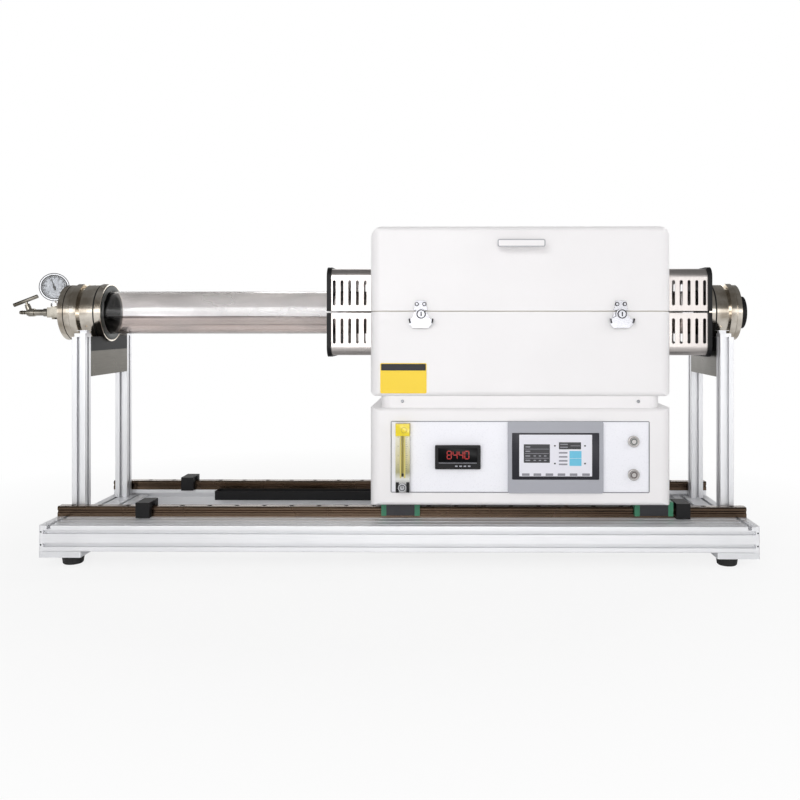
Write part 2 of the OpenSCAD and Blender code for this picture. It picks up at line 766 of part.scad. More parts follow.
module control_box() color("white") difference() {
    box_form(0);
    box_form(sheet);
    translate([window_x, 0, window_z0 + window_h / 2])
        along_y(front_y - over, front_y + sheet + over) round_rect(window_w, window_h, 4);
    translate([furnace_x, 0, box_z0 + box_h / 2])
        along_y(-front_y - sheet - over, -front_y + over) round_rect(rear_w, rear_h, 6);
}

module control_panel() color("#f7f7f9") difference() {
    translate([window_x, 0, window_z0 + window_h / 2])
        along_y(front_y + sheet, panel_y1) round_rect(window_w + 2 * panel_lap, window_h + 2 * panel_lap, 4);
    block([flow_x - flow_w / 2 - seat, front_y, flow_z0 - seat],
          [flow_x + flow_w / 2 + seat, panel_y1 + over, flow_z0 + flow_h + seat]);
    block([meter_x - meter_w / 2 + 3, front_y, meter_z - meter_h / 2 + 3],
          [meter_x + meter_w / 2 - 3, panel_y1 + over, meter_z + meter_h / 2 - 3]);
    block([screen_x - screen_w / 2 + 5, front_y, screen_z - screen_h / 2 + 5],
          [screen_x + screen_w / 2 - 5, panel_y1 + over, screen_z + screen_h / 2 - 5]);
    for (z = button_z) peg_y(button_x, front_y, panel_y1 + over, z, button_d / 2 - 2);
}

// Back cover with louvres, mains inlet housing and cable gland
module rear_panel() {
    t = 2;
    y = chamber_d / 2;
    zc = box_z0 + box_h / 2;
    color("#eeeeee") {
        difference() {
            translate([furnace_x, 0, zc]) along_y(y, y + t) round_rect(rear_w + 20, rear_h + 20, 6);
            for (side = [-1, 1], i = [0 : 8])
                translate([furnace_x + side * 0.28 * rear_w, 0, zc + (i - 4) * 13])
                    along_y(y - over, y + t + over) round_rect(110, 5, 2.4);
            peg_y(furnace_x, y - over, y + t + over, zc - 30, 9);
        }
        difference() {
            peg_y(furnace_x, y - 6, y + t + 14, zc - 30, 13);
            peg_y(furnace_x, y - 6 - over, y + t + 14 + over, zc - 30, 8);
        }
        translate([furnace_x, 0, zc + 30]) difference() {
            along_y(y + t, y + t + 12) round_rect(60, 42, 5);
            along_y(y + t + 2, y + t + 12 + over) round_rect(52, 34, 3);
        }
    }
}

module plinth() color("#fbfbfb") difference() {
    translate([furnace_x, 0, box_z1]) linear_extrude(chamber_z0 - box_z1)
        round_rect(chamber_l - 2 * plinth_end, chamber_d - 2 * plinth_back, corner_r);
    translate([furnace_x, 0, box_z1 - over]) linear_extrude(chamber_z0 - box_z1 + 2 * over)
        round_rect(chamber_l - 2 * plinth_end - 4 * sheet, chamber_d - 2 * plinth_back - 4 * sheet, corner_r - 2 * sheet);
}

// Transformer and power controller on the floor of the box
module power_unit() color("#8a8378") {
    floor_z = box_z0 + sheet;
    coil_x = core[0] / 5;
    limb = 0.15 * core[0];
    yoke = 0.24 * core[2];
    coil_h = 0.56 * core[2];
    translate([furnace_x - core_x, core_y, floor_z]) {
        difference() {
            translate([-core[0] / 2, -core[1] / 2, 0]) cube(core);
            for (s = [-1, 1]) translate([s * coil_x - limb / 2, -core[1] / 2 - over, yoke])
                cube([limb, core[1] + 2 * over, coil_h]);
        }
        for (s = [-1, 1]) translate([s * coil_x - limb / 2 + seat, -core[1] / 2 - coil_out, yoke + seat])
            cube([limb - 2 * seat, core[1] + 2 * coil_out, coil_h - 2 * seat]);
        for (x = [-core[0] / 2 - core_foot, core[0] / 2]) translate([x, -core[1] / 3, 0])
            cube([core_foot, core[1] / 1.5, 2 * sheet]);
    }
    translate([furnace_x + sink_x, sink_y, floor_z]) {
        cube([sink[0], sink[1], sink_base]);
        for (i = [0 : sink_fins - 1]) translate([sheet + i * fin_pitch, 0, sink_base - over])
            cube([fin_t, sink[1], sink[2] - sink_base - sink_cover + over]);
        translate([0, 0, sink[2] - sink_cover]) cube([sink[0], sink[1], sink_cover]);
    }
}

// ---------- instruments ----------

// Flow meter: clear block with the float's bore, a sight slot and the needle valve's seat
module flow_meter_body() color("#e8dc9a", 0.7) difference() {
    block([flow_x - flow_w / 2, front_y - flow_out, flow_z0],
          [flow_x + flow_w / 2, front_y + 24, flow_z0 + flow_h]);
    translate([flow_x, flow_y, flow_z0 + flow_seat]) cylinder(h = flow_h - 1.6 * flow_seat, r = 5);
    block([flow_x - 2.5, front_y - flow_out - over, flow_z0 + flow_seat + 4],
          [flow_x + 2.5, flow_y, flow_z0 + flow_h - 0.6 * flow_seat - 4]);
    peg_y(flow_x, front_y - flow_out - over, front_y, flow_z0 + 13, 3 + run);
}

module flow_meter_float() color("#303030") translate([flow_x, flow_y, flow_z0 + flow_seat + seat])
    cylinder(h = 8, r1 = 1.6, r2 = 3.6);

module flow_meter_knob() {
    z = flow_z0 + 13;
    y = front_y - flow_out;
    color("silver") {
        peg_y(flow_x, y - 3, y + 9, z, 3);
        peg_y(flow_x, y - 14, y - 1, z, 8.5);
    }
}

module panel_meter() {
    y = front_y - 7;
    color("#141414") translate([meter_x, 0, meter_z]) {
        difference() {
            along_y(y, front_y + sheet) round_rect(meter_w, meter_h, 2);
            along_y(y - over, y + 1.5) round_rect(meter_w - 12, meter_h - 8, 1);
        }
        block([-meter_w / 2 + 3.5, front_y + sheet, -meter_h / 2 + 3.5],
              [meter_w / 2 - 3.5, front_y + 72, meter_h / 2 - 3.5]);
        for (i = [0 : 3]) translate([-3 + i * 9, 0, -meter_h / 2 + 6.5])
            along_y(y + 0.4, y + 2.5) round_rect(6, 3.4, 0.8);
    }
}

module touch_screen() {
    y = front_y - 6;
    color("#c9c9cd") translate([screen_x, 0, screen_z]) {
        difference() {
            along_y(y, front_y + sheet) round_rect(screen_w, screen_h, 4);
            translate([0, 0, 2.5]) along_y(y - over, y + 1) round_rect(0.915 * screen_w, 0.655 * screen_h, 2);
        }
        block([-screen_w / 2 + 6, front_y + sheet, -screen_h / 2 + 6],
              [screen_w / 2 - 6, front_y + 38, screen_h / 2 - 6]);
    }
}

module button_rings() color("#b5b5b5") for (z = button_z) difference() {
    union() {
        peg_y(button_x, front_y - 3, front_y + sheet, z, button_d / 2);
        peg_y(button_x, front_y + sheet, front_y + 34, z, button_d / 2 - 2.3);
    }
    peg_y(button_x, front_y - 3 - over, front_y + 24, z, button_r + run);
}

module push_button(z) {
    peg_y(button_x, front_y - 5, front_y + 20 - button_travel, z, button_r);
}

module start_button() color("#a9a9a9") push_button(button_z[1]);

module stop_button() color("#9d9898") push_button(button_z[0]);

// ---------- furnace chamber ----------

// Whole chamber form with end corners of radius r, inset all round
module chamber_form(inset, r) intersection() {
    translate([furnace_x, 0, chamber_z0 + inset]) linear_extrude(2 * (chamber_half - inset))
        round_rect(chamber_l - 2 * inset, chamber_d - 2 * inset, corner_r - inset);
    translate([furnace_x, 0, axis_z]) along_y(front_y, -front_y)
        round_rect(chamber_l - 2 * inset, 2 * (chamber_half - inset), r - inset);
    along_x(left_x, right_x) translate([0, axis_z])
        round_rect(chamber_d - 2 * inset, 2 * (chamber_half - inset), edge_r - inset);
}

// Keeps the half above (side = 1) or below (side = -1) the parting plane, less a gap
module half(side, gap) intersection() {
    children();
    translate([-cut / 2, -cut / 2, side > 0 ? axis_z + gap / 2 : axis_z - gap / 2 - cut]) cube(cut);
}

function end_r(side) = side > 0 ? shoulder_r : heel_r;

module shell_half(side) half(side, part_gap) difference() {
    chamber_form(0, end_r(side));
    chamber_form(sheet, end_r(side));
    axle(left_x - over, right_x + over, wall_hole_r);
}

// Fibre block with the heated bore and its narrow mouths
module insulation_half(side) half(side, 2 * seat) difference() {
    chamber_form(sheet + seat, end_r(side));
    axle(left_x + mouth_l, right_x - mouth_l, bore_r);
    axle(left_x - over, right_x + over, mouth_r);
}

// Heating wire: half rings on the bore wall, joined alternately at front and back
module heater_half(side) {
    zone = chamber_l - 2 * mouth_l - 20;
    pitch = zone / (wire_rings - 1);
    first = left_x + mouth_l + 10;
    wr = wire_d / 2;
    link_z = wire_d + seat;
    half(side, 2 * link_z) for (i = [0 : wire_rings - 1]) translate([first + i * pitch, 0, axis_z])
        rotate_extrude_x() translate([heater_r, 0]) circle(wr);
    for (i = [0 : wire_rings - 2]) {
        x0 = first + i * pitch - wr;
        y0 = (i % 2 == 0 ? 1 : -1) * heater_r - wr;
        z0 = side > 0 ? axis_z + seat : axis_z - link_z;
        block([x0, y0, z0], [x0 + pitch + wire_d, y0 + wire_d, z0 + wire_d]);
    }
}

module chamber_shell() color("white") shell_half(-1);
module lower_insulation() color("#f4f1ea") difference() {
    insulation_half(-1);
    peg_y(furnace_x, 0, cut / 2, axis_z - 20, 4 + seat);
}
module lower_heater() color("#6a5a50") heater_half(-1);
module chamber_lid() color("white") shell_half(1);
module lid_insulation() color("#f4f1ea") insulation_half(1);
module lid_heater() color("#6a5a50") heater_half(1);

// Sheathed thermocouple through the back of the lower block
module thermocouple() color("#c9c2b4")
    peg_y(furnace_x, heater_r - 2, chamber_d / 2 - sheet - seat, axis_z - 20, 4);

// ---------- guards ----------

// Slotted guard half drawn at the right end
module guard_shell(side, l) half(side, 2 * part_gap) difference() {
    along_x(right_x, right_x + l - trim_t) translate([0, axis_z]) difference() {
        round_rect(2 * guard_half, 2 * guard_half, guard_r);
        round_rect(2 * guard_half - 2 * sheet, 2 * guard_half - 2 * sheet, guard_r - sheet);
    }
    vent_z = axis_z + side * (part_gap + 12 + vent_h / 2);
    for (i = [0 : 4]) translate([right_x + l - trim_t - vent_w - i * vent_pitch, 0, vent_z])
        along_y(-cut / 2, cut / 2) round_rect(vent_w, vent_h, vent_w / 2 - 0.05);
}

// Black end trim half with the half hole for the tube
module guard_trim(side, l) half(side, 2 * part_gap - 0.8) {
    reach = guard_half + trim_proud;
    difference() {
        along_x(right_x + l - trim_t, right_x + l) translate([0, axis_z])
            round_rect(2 * reach, 2 * reach, guard_r + trim_proud);
        axle(right_x, right_x + l + over, mouth_r - 3);
    }
}

// Moves what is drawn at the furnace's right end to its left end
module left_mouth() translate([2 * furnace_x, 0, 0]) mirror([1, 0, 0]) children();

module lower_guards() color("#c9c4bc") {
    guard_shell(-1, guard_l_right);
    left_mouth() guard_shell(-1, guard_l);
}
module lower_guard_ends() color("#141414") {
    guard_trim(-1, guard_l_right);
    left_mouth() guard_trim(-1, guard_l);
}
module lid_guards() color("#c9c4bc") {
    guard_shell(1, guard_l_right);
    left_mouth() guard_shell(1, guard_l);
}
module lid_guard_ends() color("#141414") {
    guard_trim(1, guard_l_right);
    left_mouth() guard_trim(1, guard_l);
}

// ---------- handle, latches, hinges ----------

handle_z = axis_z + chamber_half - handle_drop - handle_t / 2;

module lid_handle() color("white") translate([furnace_x, 0, handle_z]) {
    along_y(front_y - handle_out, front_y - handle_out + 12) round_rect(handle_w, handle_t, 5);
    for (s = [-1, 1]) peg_y(s * (handle_w / 2 - 12), front_y - handle_out + 11, front_y, 0, 5.5);
}

wing_z = axis_z - 6;
wing_y = front_y - 5.5;

// Fixed base plate of a twist latch, with the pivot that the wing turns on
module latch_bases() color("#dcdcdc") for (s = [-1, 1]) translate([furnace_x + s * latch_x, 0, 0]) {
    difference() {
        along_y(front_y - 3, front_y) polygon([
            [-16, wing_z - 27], [16, wing_z - 27], [21, wing_z - 14], [13, wing_z + 4.4],
            [-13, wing_z + 4.4], [-21, wing_z - 14]]);
        for (x = [-1, 1]) peg_y(x * 12, front_y - 3 - over, front_y + over, wing_z - 20, 2.2);
    }
    peg_y(0, wing_y - 6.5, front_y - 2, wing_z, 3);
}

// Keeper on the lid: a stepped plate with two round-head bolts
module latch_keepers() color("#dcdcdc") for (s = [-1, 1]) translate([furnace_x + s * latch_x, 0, 0]) {
    along_y(front_y - 4, front_y) polygon([
        [-15, axis_z + part_gap / 2 + 1], [15, axis_z + part_gap / 2 + 1], [13, axis_z + 9],
        [11, axis_z + 22], [-11, axis_z + 22], [-13, axis_z + 9]]);
    for (x = [-1, 1]) difference() {
        translate([x * 8, front_y - 4, axis_z + 15]) rotate([90, 0, 0]) cylinder(h = 2.4, r1 = 4, r2 = 2.6);
        block([x * 8 - 0.5, front_y - 8, axis_z + 10], [x * 8 + 0.5, front_y - 5.6, axis_z + 20]);
    }
}

// Butterfly wing: hub with a raised rim, a plate below it, and two ears folded forward
module latch_wing() {
    ear_z = wing_z - 20;
    difference() {
        union() {
            peg_y(0, wing_y - 6, wing_y, wing_z, 11);
            along_y(wing_y - 4, wing_y - 1) polygon([
                [-9, wing_z - 4], [9, wing_z - 4], [wing_w / 2 - 5, wing_z - 10], [wing_w / 2 - 2, wing_z - 14],
                [wing_w / 2 - 3, wing_z - 22], [wing_w / 2 - 10, wing_z - 29], [-wing_w / 2 + 10, wing_z - 29],
                [-wing_w / 2 + 3, wing_z - 22], [-wing_w / 2 + 2, wing_z - 14], [-wing_w / 2 + 5, wing_z - 10]]);
            for (s = [-1, 1]) translate([s * (wing_w / 2 - 3.5), wing_y - 9, ear_z]) rotate([0, s * 12, 0])
                linear_extrude(11) square([3, 8 - over], center = false);
        }
        peg_y(0, wing_y - 7, wing_y + over, wing_z, 3 + run);
        difference() {
            peg_y(0, wing_y - 7, wing_y - 4.5, wing_z, 9);
            peg_y(0, wing_y - 8, wing_y - 4, wing_z, 5.5);
        }
    }
}

module left_latch_wing() color("silver") translate([furnace_x - latch_x, 0, 0]) latch_wing();
module right_latch_wing() color("silver") translate([furnace_x + latch_x, 0, 0]) latch_wing();

// Round bar along X on the hinge axis
module hinge_bar(x0, x1, r) translate([x0, hinge_y, axis_z]) rotate([0, 90, 0]) cylinder(h = x1 - x0, r = r);

knuckle_l = 20;
leaf_t = 3;

// Lower hinge leaves with two knuckles each and the pin
module hinge_brackets() color("#9c9c9c") for (s = [-1, 1]) translate([furnace_x + s * latch_x, 0, 0]) {
    r = knuckle_d / 2;
    y = chamber_d / 2;
    block([-1.5 * knuckle_l, y, axis_z - 46], [1.5 * knuckle_l, y + leaf_t, axis_z - r - 2]);
    for (e = [-1, 1]) {
        x0 = e < 0 ? -1.5 * knuckle_l : knuckle_l / 2 + 0.2;
        hinge_bar(x0, x0 + knuckle_l - 0.2, r);
        block([x0, y, axis_z - r - 3], [x0 + knuckle_l - 0.2, y + leaf_t, axis_z - part_gap]);
        block([x0, y, axis_z - r + 1], [x0 + knuckle_l - 0.2, hinge_y, axis_z - part_gap]);
    }
    hinge_bar(-1.5 * knuckle_l - 2, 1.5 * knuckle_l + 2, hinge_pin_d / 2);
}

// Lid leaves with the middle knuckle
module lid_hinges() color("#a4a4a4") for (s = [-1, 1]) translate([furnace_x + s * latch_x, 0, 0]) {
    r = knuckle_d / 2;
    y = chamber_d / 2;
    block([-1.5 * knuckle_l, y, axis_z + r + 2], [1.5 * knuckle_l, y + leaf_t, axis_z + 46]);
    block([-knuckle_l / 2, y, axis_z + part_gap], [knuckle_l / 2, y + leaf_t, axis_z + r + 3]);
    difference() {
        union() {
            hinge_bar(-knuckle_l / 2, knuckle_l / 2, r);
            block([-knuckle_l / 2, y, axis_z + part_gap], [knuckle_l / 2, hinge_y, axis_z + r - 1]);
        }
        hinge_bar(-knuckle_l, knuckle_l, hinge_pin_d / 2 + run);
    }
}

// ---------- assembly ----------

module place() translate([-mid_x, 0, 0]) children();

place() side_beams();
place() cross_members();
place() rubber_feet();
place() beam_end_caps();
place() linear_rails();
place() rail_stops();
place() cable_trough();
place() support_posts();
place() saddle_plates();
place() tube_cradles();
place() post_caps();
place() quartz_tube();
place() tube_plugs();
place() clamp_rings();
place() seal_sleeves();
place() left_end_flange();
place() right_end_flange();
place() flange_seals();
place() flange_screws();
place() gauge_tee();
place() gauge_case();
place() gauge_glass();
place() gauge_dial();
place() gauge_needle();
place() valve_body();
place() valve_handle();
place() port_cap();
place() carriages();
place() carriage_end_caps();
place() control_box();
place() control_panel();
place() rear_panel();
place() plinth();
place() chamber_shell();
place() lower_insulation();
place() lower_heater();
place() lower_guards();
place() lower_guard_ends();
place() thermocouple();
place() hinge_brackets();
place() latch_bases();
place() flow_meter_body();
place() flow_meter_float();
place() flow_meter_knob();
place() panel_meter();
place() touch_screen();
place() button_rings();
place() start_button();
place() stop_button();
place() power_unit();
place() chamber_lid();
place() lid_insulation();
place() lid_heater();
place() lid_guards();
place() lid_guard_ends();
place() lid_handle();
place() lid_hinges();
place() latch_keepers();
place() left_latch_wing();
place() right_latch_wing();
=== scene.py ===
# %% [markdown]
# # A tube furnace that slides on rails, dressed for its picture
#
# The solid pieces come from a CAD frame: every plate, screw hole and hinge is already at its real
# size. Blender's work is what a machinist's drawing leaves out: the finish of each surface, the
# scale on a dial, the digits of a display, the screws that close a casing. Each step below first says
# what a piece is on the real furnace, then how it could be made, and then makes it.

import math

import bmesh
import bpy
from mathutils import Matrix, Vector


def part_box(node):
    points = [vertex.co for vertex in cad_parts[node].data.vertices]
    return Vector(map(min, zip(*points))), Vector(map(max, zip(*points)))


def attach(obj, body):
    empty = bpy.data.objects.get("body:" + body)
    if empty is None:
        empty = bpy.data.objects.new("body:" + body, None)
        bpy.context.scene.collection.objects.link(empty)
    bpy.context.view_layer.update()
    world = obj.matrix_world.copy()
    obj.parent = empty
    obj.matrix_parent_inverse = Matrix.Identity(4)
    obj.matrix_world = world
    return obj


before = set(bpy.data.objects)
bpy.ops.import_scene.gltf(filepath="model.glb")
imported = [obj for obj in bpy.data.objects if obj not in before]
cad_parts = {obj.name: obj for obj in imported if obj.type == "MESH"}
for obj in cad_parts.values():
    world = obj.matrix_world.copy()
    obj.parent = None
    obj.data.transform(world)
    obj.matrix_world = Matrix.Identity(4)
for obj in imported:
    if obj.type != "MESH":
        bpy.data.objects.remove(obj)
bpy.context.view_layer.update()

# %% [markdown]
# ## Measuring the frame
#
# Everything that is added sits on a CAD piece, so its place is counted from that piece's box.
# Blender works in metres and a machinist thinks in millimetres, so one named value turns the second
# into the first.

# %% Boxes of the pieces that carry something
MM = 0.001


class Span:
    """Lowest corner, highest corner, middle and size of a CAD node, in metres."""

    def __init__(self, node):
        self.lo, self.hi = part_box(node)
        self.mid = (self.lo + self.hi) / 2
        self.size = self.hi - self.lo


rails = Span("linear_rails")
lid = Span("chamber_lid")
cabinet = Span("control_box")
tube = Span("quartz_tube")
AXIS_Z = tube.mid.z
FRONT_Y = lid.lo.y
BACK_Y = lid.hi.y
FURNACE_X = lid.mid.x
print("tube axis at", round(AXIS_Z / MM), "mm, casing front at", round(FRONT_Y / MM), "mm")

# %% [markdown]
# ## The camera
#
# The furnace is seen from the front, from just above the tube, by a camera that stands level. A level
# camera keeps upright edges upright. The object isn't in the middle of the frame, so the lens is
# shifted, as on a view camera, and not tilted. Its place along X is counted from the lid's middle.

# %% Camera
CAMERA_LEFT_OF_LID = 127.9 * MM
CAMERA_Y = -2001 * MM
CAMERA_Z = 507 * MM
CAMERA_YAW = 0.49
LENS = 38.07
SHIFT = (-0.0659, -0.0962)

bpy.ops.object.camera_add(
    location=(FURNACE_X - CAMERA_LEFT_OF_LID, CAMERA_Y, CAMERA_Z),
    rotation=(math.radians(90), 0, math.radians(CAMERA_YAW)))
camera = bpy.context.object
camera.name = "camera"
camera.data.lens = LENS
camera.data.shift_x, camera.data.shift_y = SHIFT
bpy.context.scene.camera = camera
print("camera looks along +Y from", [round(v, 3) for v in camera.location])

# %% [markdown]
# ## Nodes without clutter
#
# A material is a small graph. One function adds a node, sets it up and links it, so that a finish
# reads as a list of what it is made of. A colour is written as a picture editor shows it, in sRGB, and
# one function turns it to the linear light that Blender calculates with.

# %% Helpers for materials


def linear(colour):
    """An sRGB hex colour as linear red, green, blue and 1."""
    channels = [int(colour[i:i + 2], 16) / 255 for i in (1, 3, 5)]
    light = [c / 12.92 if c <= 0.04045 else ((c + 0.055) / 1.055) ** 2.4 for c in channels]
    return (*light, 1.0)


def add_node(tree, kind, inputs=None, **settings):
    """Add a node. inputs gives, for each socket, a value or the output that feeds it."""
    node = tree.nodes.new(kind)
    for name, value in settings.items():
        setattr(node, name, value)
    for socket, value in (inputs or {}).items():
        if isinstance(value, bpy.types.NodeSocket):
            tree.links.new(value, node.inputs[socket])
        else:
            node.inputs[socket].default_value = value
    return node


def new_material(name, colour, metallic=0.0, roughness=0.5, **sockets):
    """A material with one Principled shader. Returns it, its tree, the shader and the object's place."""
    material = bpy.data.materials.new(name)
    material.use_nodes = True
    tree = material.node_tree
    shader = tree.nodes["Principled BSDF"]
    shader.inputs["Base Color"].default_value = linear(colour)
    shader.inputs["Metallic"].default_value = metallic
    shader.inputs["Roughness"].default_value = roughness
    for socket, value in sockets.items():
        shader.inputs[socket.replace("_", " ")].default_value = value
    place = add_node(tree, "ShaderNodeTexCoord").outputs["Object"]
    return material, tree, shader, place


def surface(tree, shader, grain, depth_mm, strength, gloss, wear=None, spread=(0.0, 1.0)):
    """Bumps that follow grain, and a roughness that runs over gloss with wear, or else with grain."""
    shine = add_node(tree, "ShaderNodeMapRange", {
        "Value": wear or grain, "From Min": spread[0], "From Max": spread[1],
        "To Min": gloss[0], "To Max": gloss[1]})
    relief = add_node(tree, "ShaderNodeBump", {
        "Height": grain, "Distance": depth_mm * MM, "Strength": strength})
    tree.links.new(shine.outputs[0], shader.inputs["Roughness"])
    tree.links.new(relief.outputs[0], shader.inputs["Normal"])


def fill_ramp(ramp, stops):
    """Give a colour ramp its stops, each a position and a colour, from the first to the last."""
    marks = ramp.color_ramp.elements
    for mark, (position, colour) in zip(marks, (stops[0], stops[-1])):
        mark.position, mark.color = position, linear(colour)
    for position, colour in stops[1:-1]:
        marks.new(position).color = linear(colour)


# %% [markdown]
# ## White powder coat
#
# The casings are steel sheet with a baked powder coat. The powder melts into a skin with a shallow
# orange peel, whose bumps are about a millimetre across. That is too fine for this picture, so they
# are drawn at 2.5 mm. A light, even roughness gives the casing its broad soft shine. A very slow
# noise shifts the white by a shade, as real panels never match quite.

# %% Powder coat
PEEL_MM = 2.5
PANEL_CLOUD_MM = 180


def powder_coat(name, dark, light, roughness, **sockets):
    material, tree, shader, place = new_material(name, light, roughness=roughness, **sockets)
    peel = add_node(tree, "ShaderNodeTexNoise", {
        "Vector": place, "Scale": 1 / (PEEL_MM * MM), "Detail": 2.0}).outputs["Fac"]
    cloud = add_node(tree, "ShaderNodeTexNoise", {
        "Vector": place, "Scale": 1 / (PANEL_CLOUD_MM * MM), "Detail": 2.0})
    shade = add_node(tree, "ShaderNodeMix", {
        0: cloud.outputs["Fac"], 6: linear(dark), 7: linear(light)}, data_type="RGBA")
    tree.links.new(shade.outputs[2], shader.inputs["Base Color"])
    surface(tree, shader, peel, depth_mm=0.05, strength=0.5, gloss=(roughness - 0.06, roughness + 0.08))
    return material


white_coat = powder_coat("powder_coat_white", "#eae8e9", "#f1eff0", 0.36)
panel_coat = powder_coat("enamel_panel_white", "#eeeef5", "#f4f4f9", 0.28)
dial_coat = powder_coat("dial_enamel", "#dcdde6", "#e6e7ee", 0.35)
black_coat = powder_coat("powder_coat_black", "#101011", "#19191b", 0.5, Specular_IOR_Level=0.22)
print("powder coats:", white_coat.name, panel_coat.name, black_coat.name)

# %% [markdown]
# ## Anodised aluminium and metals with lines
#
# The beams and posts are extruded through a die, which leaves faint lines along their length, and
# then anodised, which makes them satin. The lines are noise that is drawn out far along one axis. The
# beams run along X and the posts stand along Z, so the same finish is made for each direction. Ground
# rails, brushed brackets and rolled sheet carry lines of the same kind, so they are made with it too.

# %% Metals with lines
DIE_LINE_MM = 1.2
HANDLING_MM = 90


def drawn_metal(name, dark, light, roughness, stretch, line_mm=DIE_LINE_MM, metallic=1.0):
    material, tree, shader, place = new_material(name, light, metallic=metallic, roughness=roughness)
    along = add_node(tree, "ShaderNodeMapping", {"Vector": place, "Scale": [1 / s for s in stretch]})
    lines = add_node(tree, "ShaderNodeTexNoise", {
        "Vector": along.outputs[0], "Scale": 1 / (line_mm * MM), "Detail": 3.0}).outputs["Fac"]
    handling = add_node(tree, "ShaderNodeTexNoise", {
        "Vector": place, "Scale": 1 / (HANDLING_MM * MM), "Detail": 2.0}).outputs["Fac"]
    shade = add_node(tree, "ShaderNodeMix", {
        0: lines, 6: linear(dark), 7: linear(light)}, data_type="RGBA")
    tree.links.new(shade.outputs[2], shader.inputs["Base Color"])
    surface(tree, shader, lines, depth_mm=0.02, strength=0.4,
            gloss=(roughness - 0.05, roughness + 0.07), wear=handling, spread=(0.3, 0.7))
    return material


anodised_x = drawn_metal("anodised_aluminium_x", "#dedfe2", "#eeeef0", 0.42, (60, 1, 1), metallic=0.55)
anodised_y = drawn_metal("anodised_aluminium_y", "#d8d9dc", "#e8e9eb", 0.42, (1, 60, 1), metallic=0.55)
anodised_z = drawn_metal("anodised_aluminium_z", "#d3d4d7", "#e6e6e8", 0.4, (1, 1, 60), metallic=0.85)
ground_rail = drawn_metal("ground_rail_steel", "#4b3f36", "#6e5c4c", 0.24, (120, 1, 1))
brushed_dark = drawn_metal(
    "brushed_stainless_dark", "#47443e", "#6c6860", 0.28, (1, 60, 1), line_mm=0.8)
guard_sheet = drawn_metal(
    "polished_stainless_sheet", "#bdb7b4", "#cec8c5", 0.3, (1, 30, 30), line_mm=2.0)
print("drawn metals are ready")

# %% [markdown]
# ## Turned steel
#
# Flanges, rings and fittings are turned on a lathe. The tool leaves fine rings about the turning
# axis: along a cylinder they lie side by side in X, and on a flat face they are circles. Both come
# from one noise that is read by the place along X and by the distance from the tube's axis. Handling
# and heat leave slow stains, which show as a warm grey tint over the bright metal.

# %% Turned steel
TOOL_MARK_MM = 0.9
STAIN_MM = 40


def turned_metal(name, dark, light, roughness):
    material, tree, shader, place = new_material(name, light, metallic=1.0, roughness=roughness)
    centred = add_node(tree, "ShaderNodeMapping", {"Vector": place, "Location": (0, 0, -AXIS_Z)})
    parts = add_node(tree, "ShaderNodeSeparateXYZ", {0: centred.outputs[0]})
    flat = add_node(tree, "ShaderNodeCombineXYZ", {1: parts.outputs[1], 2: parts.outputs[2]})
    radius = add_node(tree, "ShaderNodeVectorMath", {0: flat.outputs[0]}, operation="LENGTH")
    rings = add_node(tree, "ShaderNodeCombineXYZ", {0: parts.outputs[0], 1: radius.outputs["Value"]})
    marks = add_node(tree, "ShaderNodeTexNoise", {
        "Vector": rings.outputs[0], "Scale": 1 / (TOOL_MARK_MM * MM), "Detail": 3.0}).outputs["Fac"]
    stain = add_node(tree, "ShaderNodeTexNoise", {
        "Vector": centred.outputs[0], "Scale": 1 / (STAIN_MM * MM), "Detail": 3.0})
    patchy = add_node(tree, "ShaderNodeMapRange", {
        "Value": stain.outputs["Fac"], "From Min": 0.35, "From Max": 0.65})
    shade = add_node(tree, "ShaderNodeMix", {
        0: patchy.outputs[0], 6: linear(dark), 7: linear(light)}, data_type="RGBA")
    tree.links.new(shade.outputs[2], shader.inputs["Base Color"])
    surface(tree, shader, marks, depth_mm=0.02, strength=0.5,
            gloss=(roughness - 0.05, roughness + 0.08), spread=(0.3, 0.7))
    return material


flange_metal = turned_metal("turned_stainless_flange", "#a79d8f", "#dfd8cd", 0.12)
fitting_metal = turned_metal("turned_fitting", "#635e55", "#aba69c", 0.2)
print("turned metals are ready")

# %% [markdown]
# ## Bright and plated metals
#
# Latches, knob and gauge bezel are nickel or chrome plated: nearly a mirror, with slight waviness
# left by the polishing wheel. Noise in the roughness keeps the mirror from looking like glass. Satin
# steel, screws, carriages and the heating wire have the same skin, only rougher or darker.

# %% Plated metal
WHEEL_WAVE_MM = 6


def plated_metal(name, colour, roughness):
    material, tree, shader, place = new_material(name, colour, metallic=1.0, roughness=roughness)
    wave = add_node(tree, "ShaderNodeTexNoise", {
        "Vector": place, "Scale": 1 / (WHEEL_WAVE_MM * MM), "Detail": 2.0}).outputs["Fac"]
    surface(tree, shader, wave, depth_mm=0.05, strength=0.25, gloss=(roughness - 0.05, roughness + 0.07))
    return material


nickel = plated_metal("nickel_plate", "#97979b", 0.2)
chrome = plated_metal("chrome_plate", "#b9babd", 0.14)
satin_steel = plated_metal("satin_steel", "#a3a09e", 0.34)
worn_steel = plated_metal("worn_button_steel", "#aaa7a6", 0.3)
dark_steel = plated_metal("carriage_steel", "#3b3b3d", 0.36)
zinc = plated_metal("zinc_screw", "#85878a", 0.3)
oxide_wire = plated_metal("heating_wire", "#4b4038", 0.6)
black_screw = plated_metal("blackened_screw", "#232325", 0.38)
print("plated metals are ready")

# %% [markdown]
# ## Plastics, ink and rubber
#
# Moulded plastic carries the texture of its mould: a fine even grain, less than a millimetre. Rubber
# is rougher and drinks the light. Printing ink lies flat and dull on what carries it. All are
# dielectrics, so their colour is in the body and their shine is white.

# %% Moulded plastic, ink and rubber


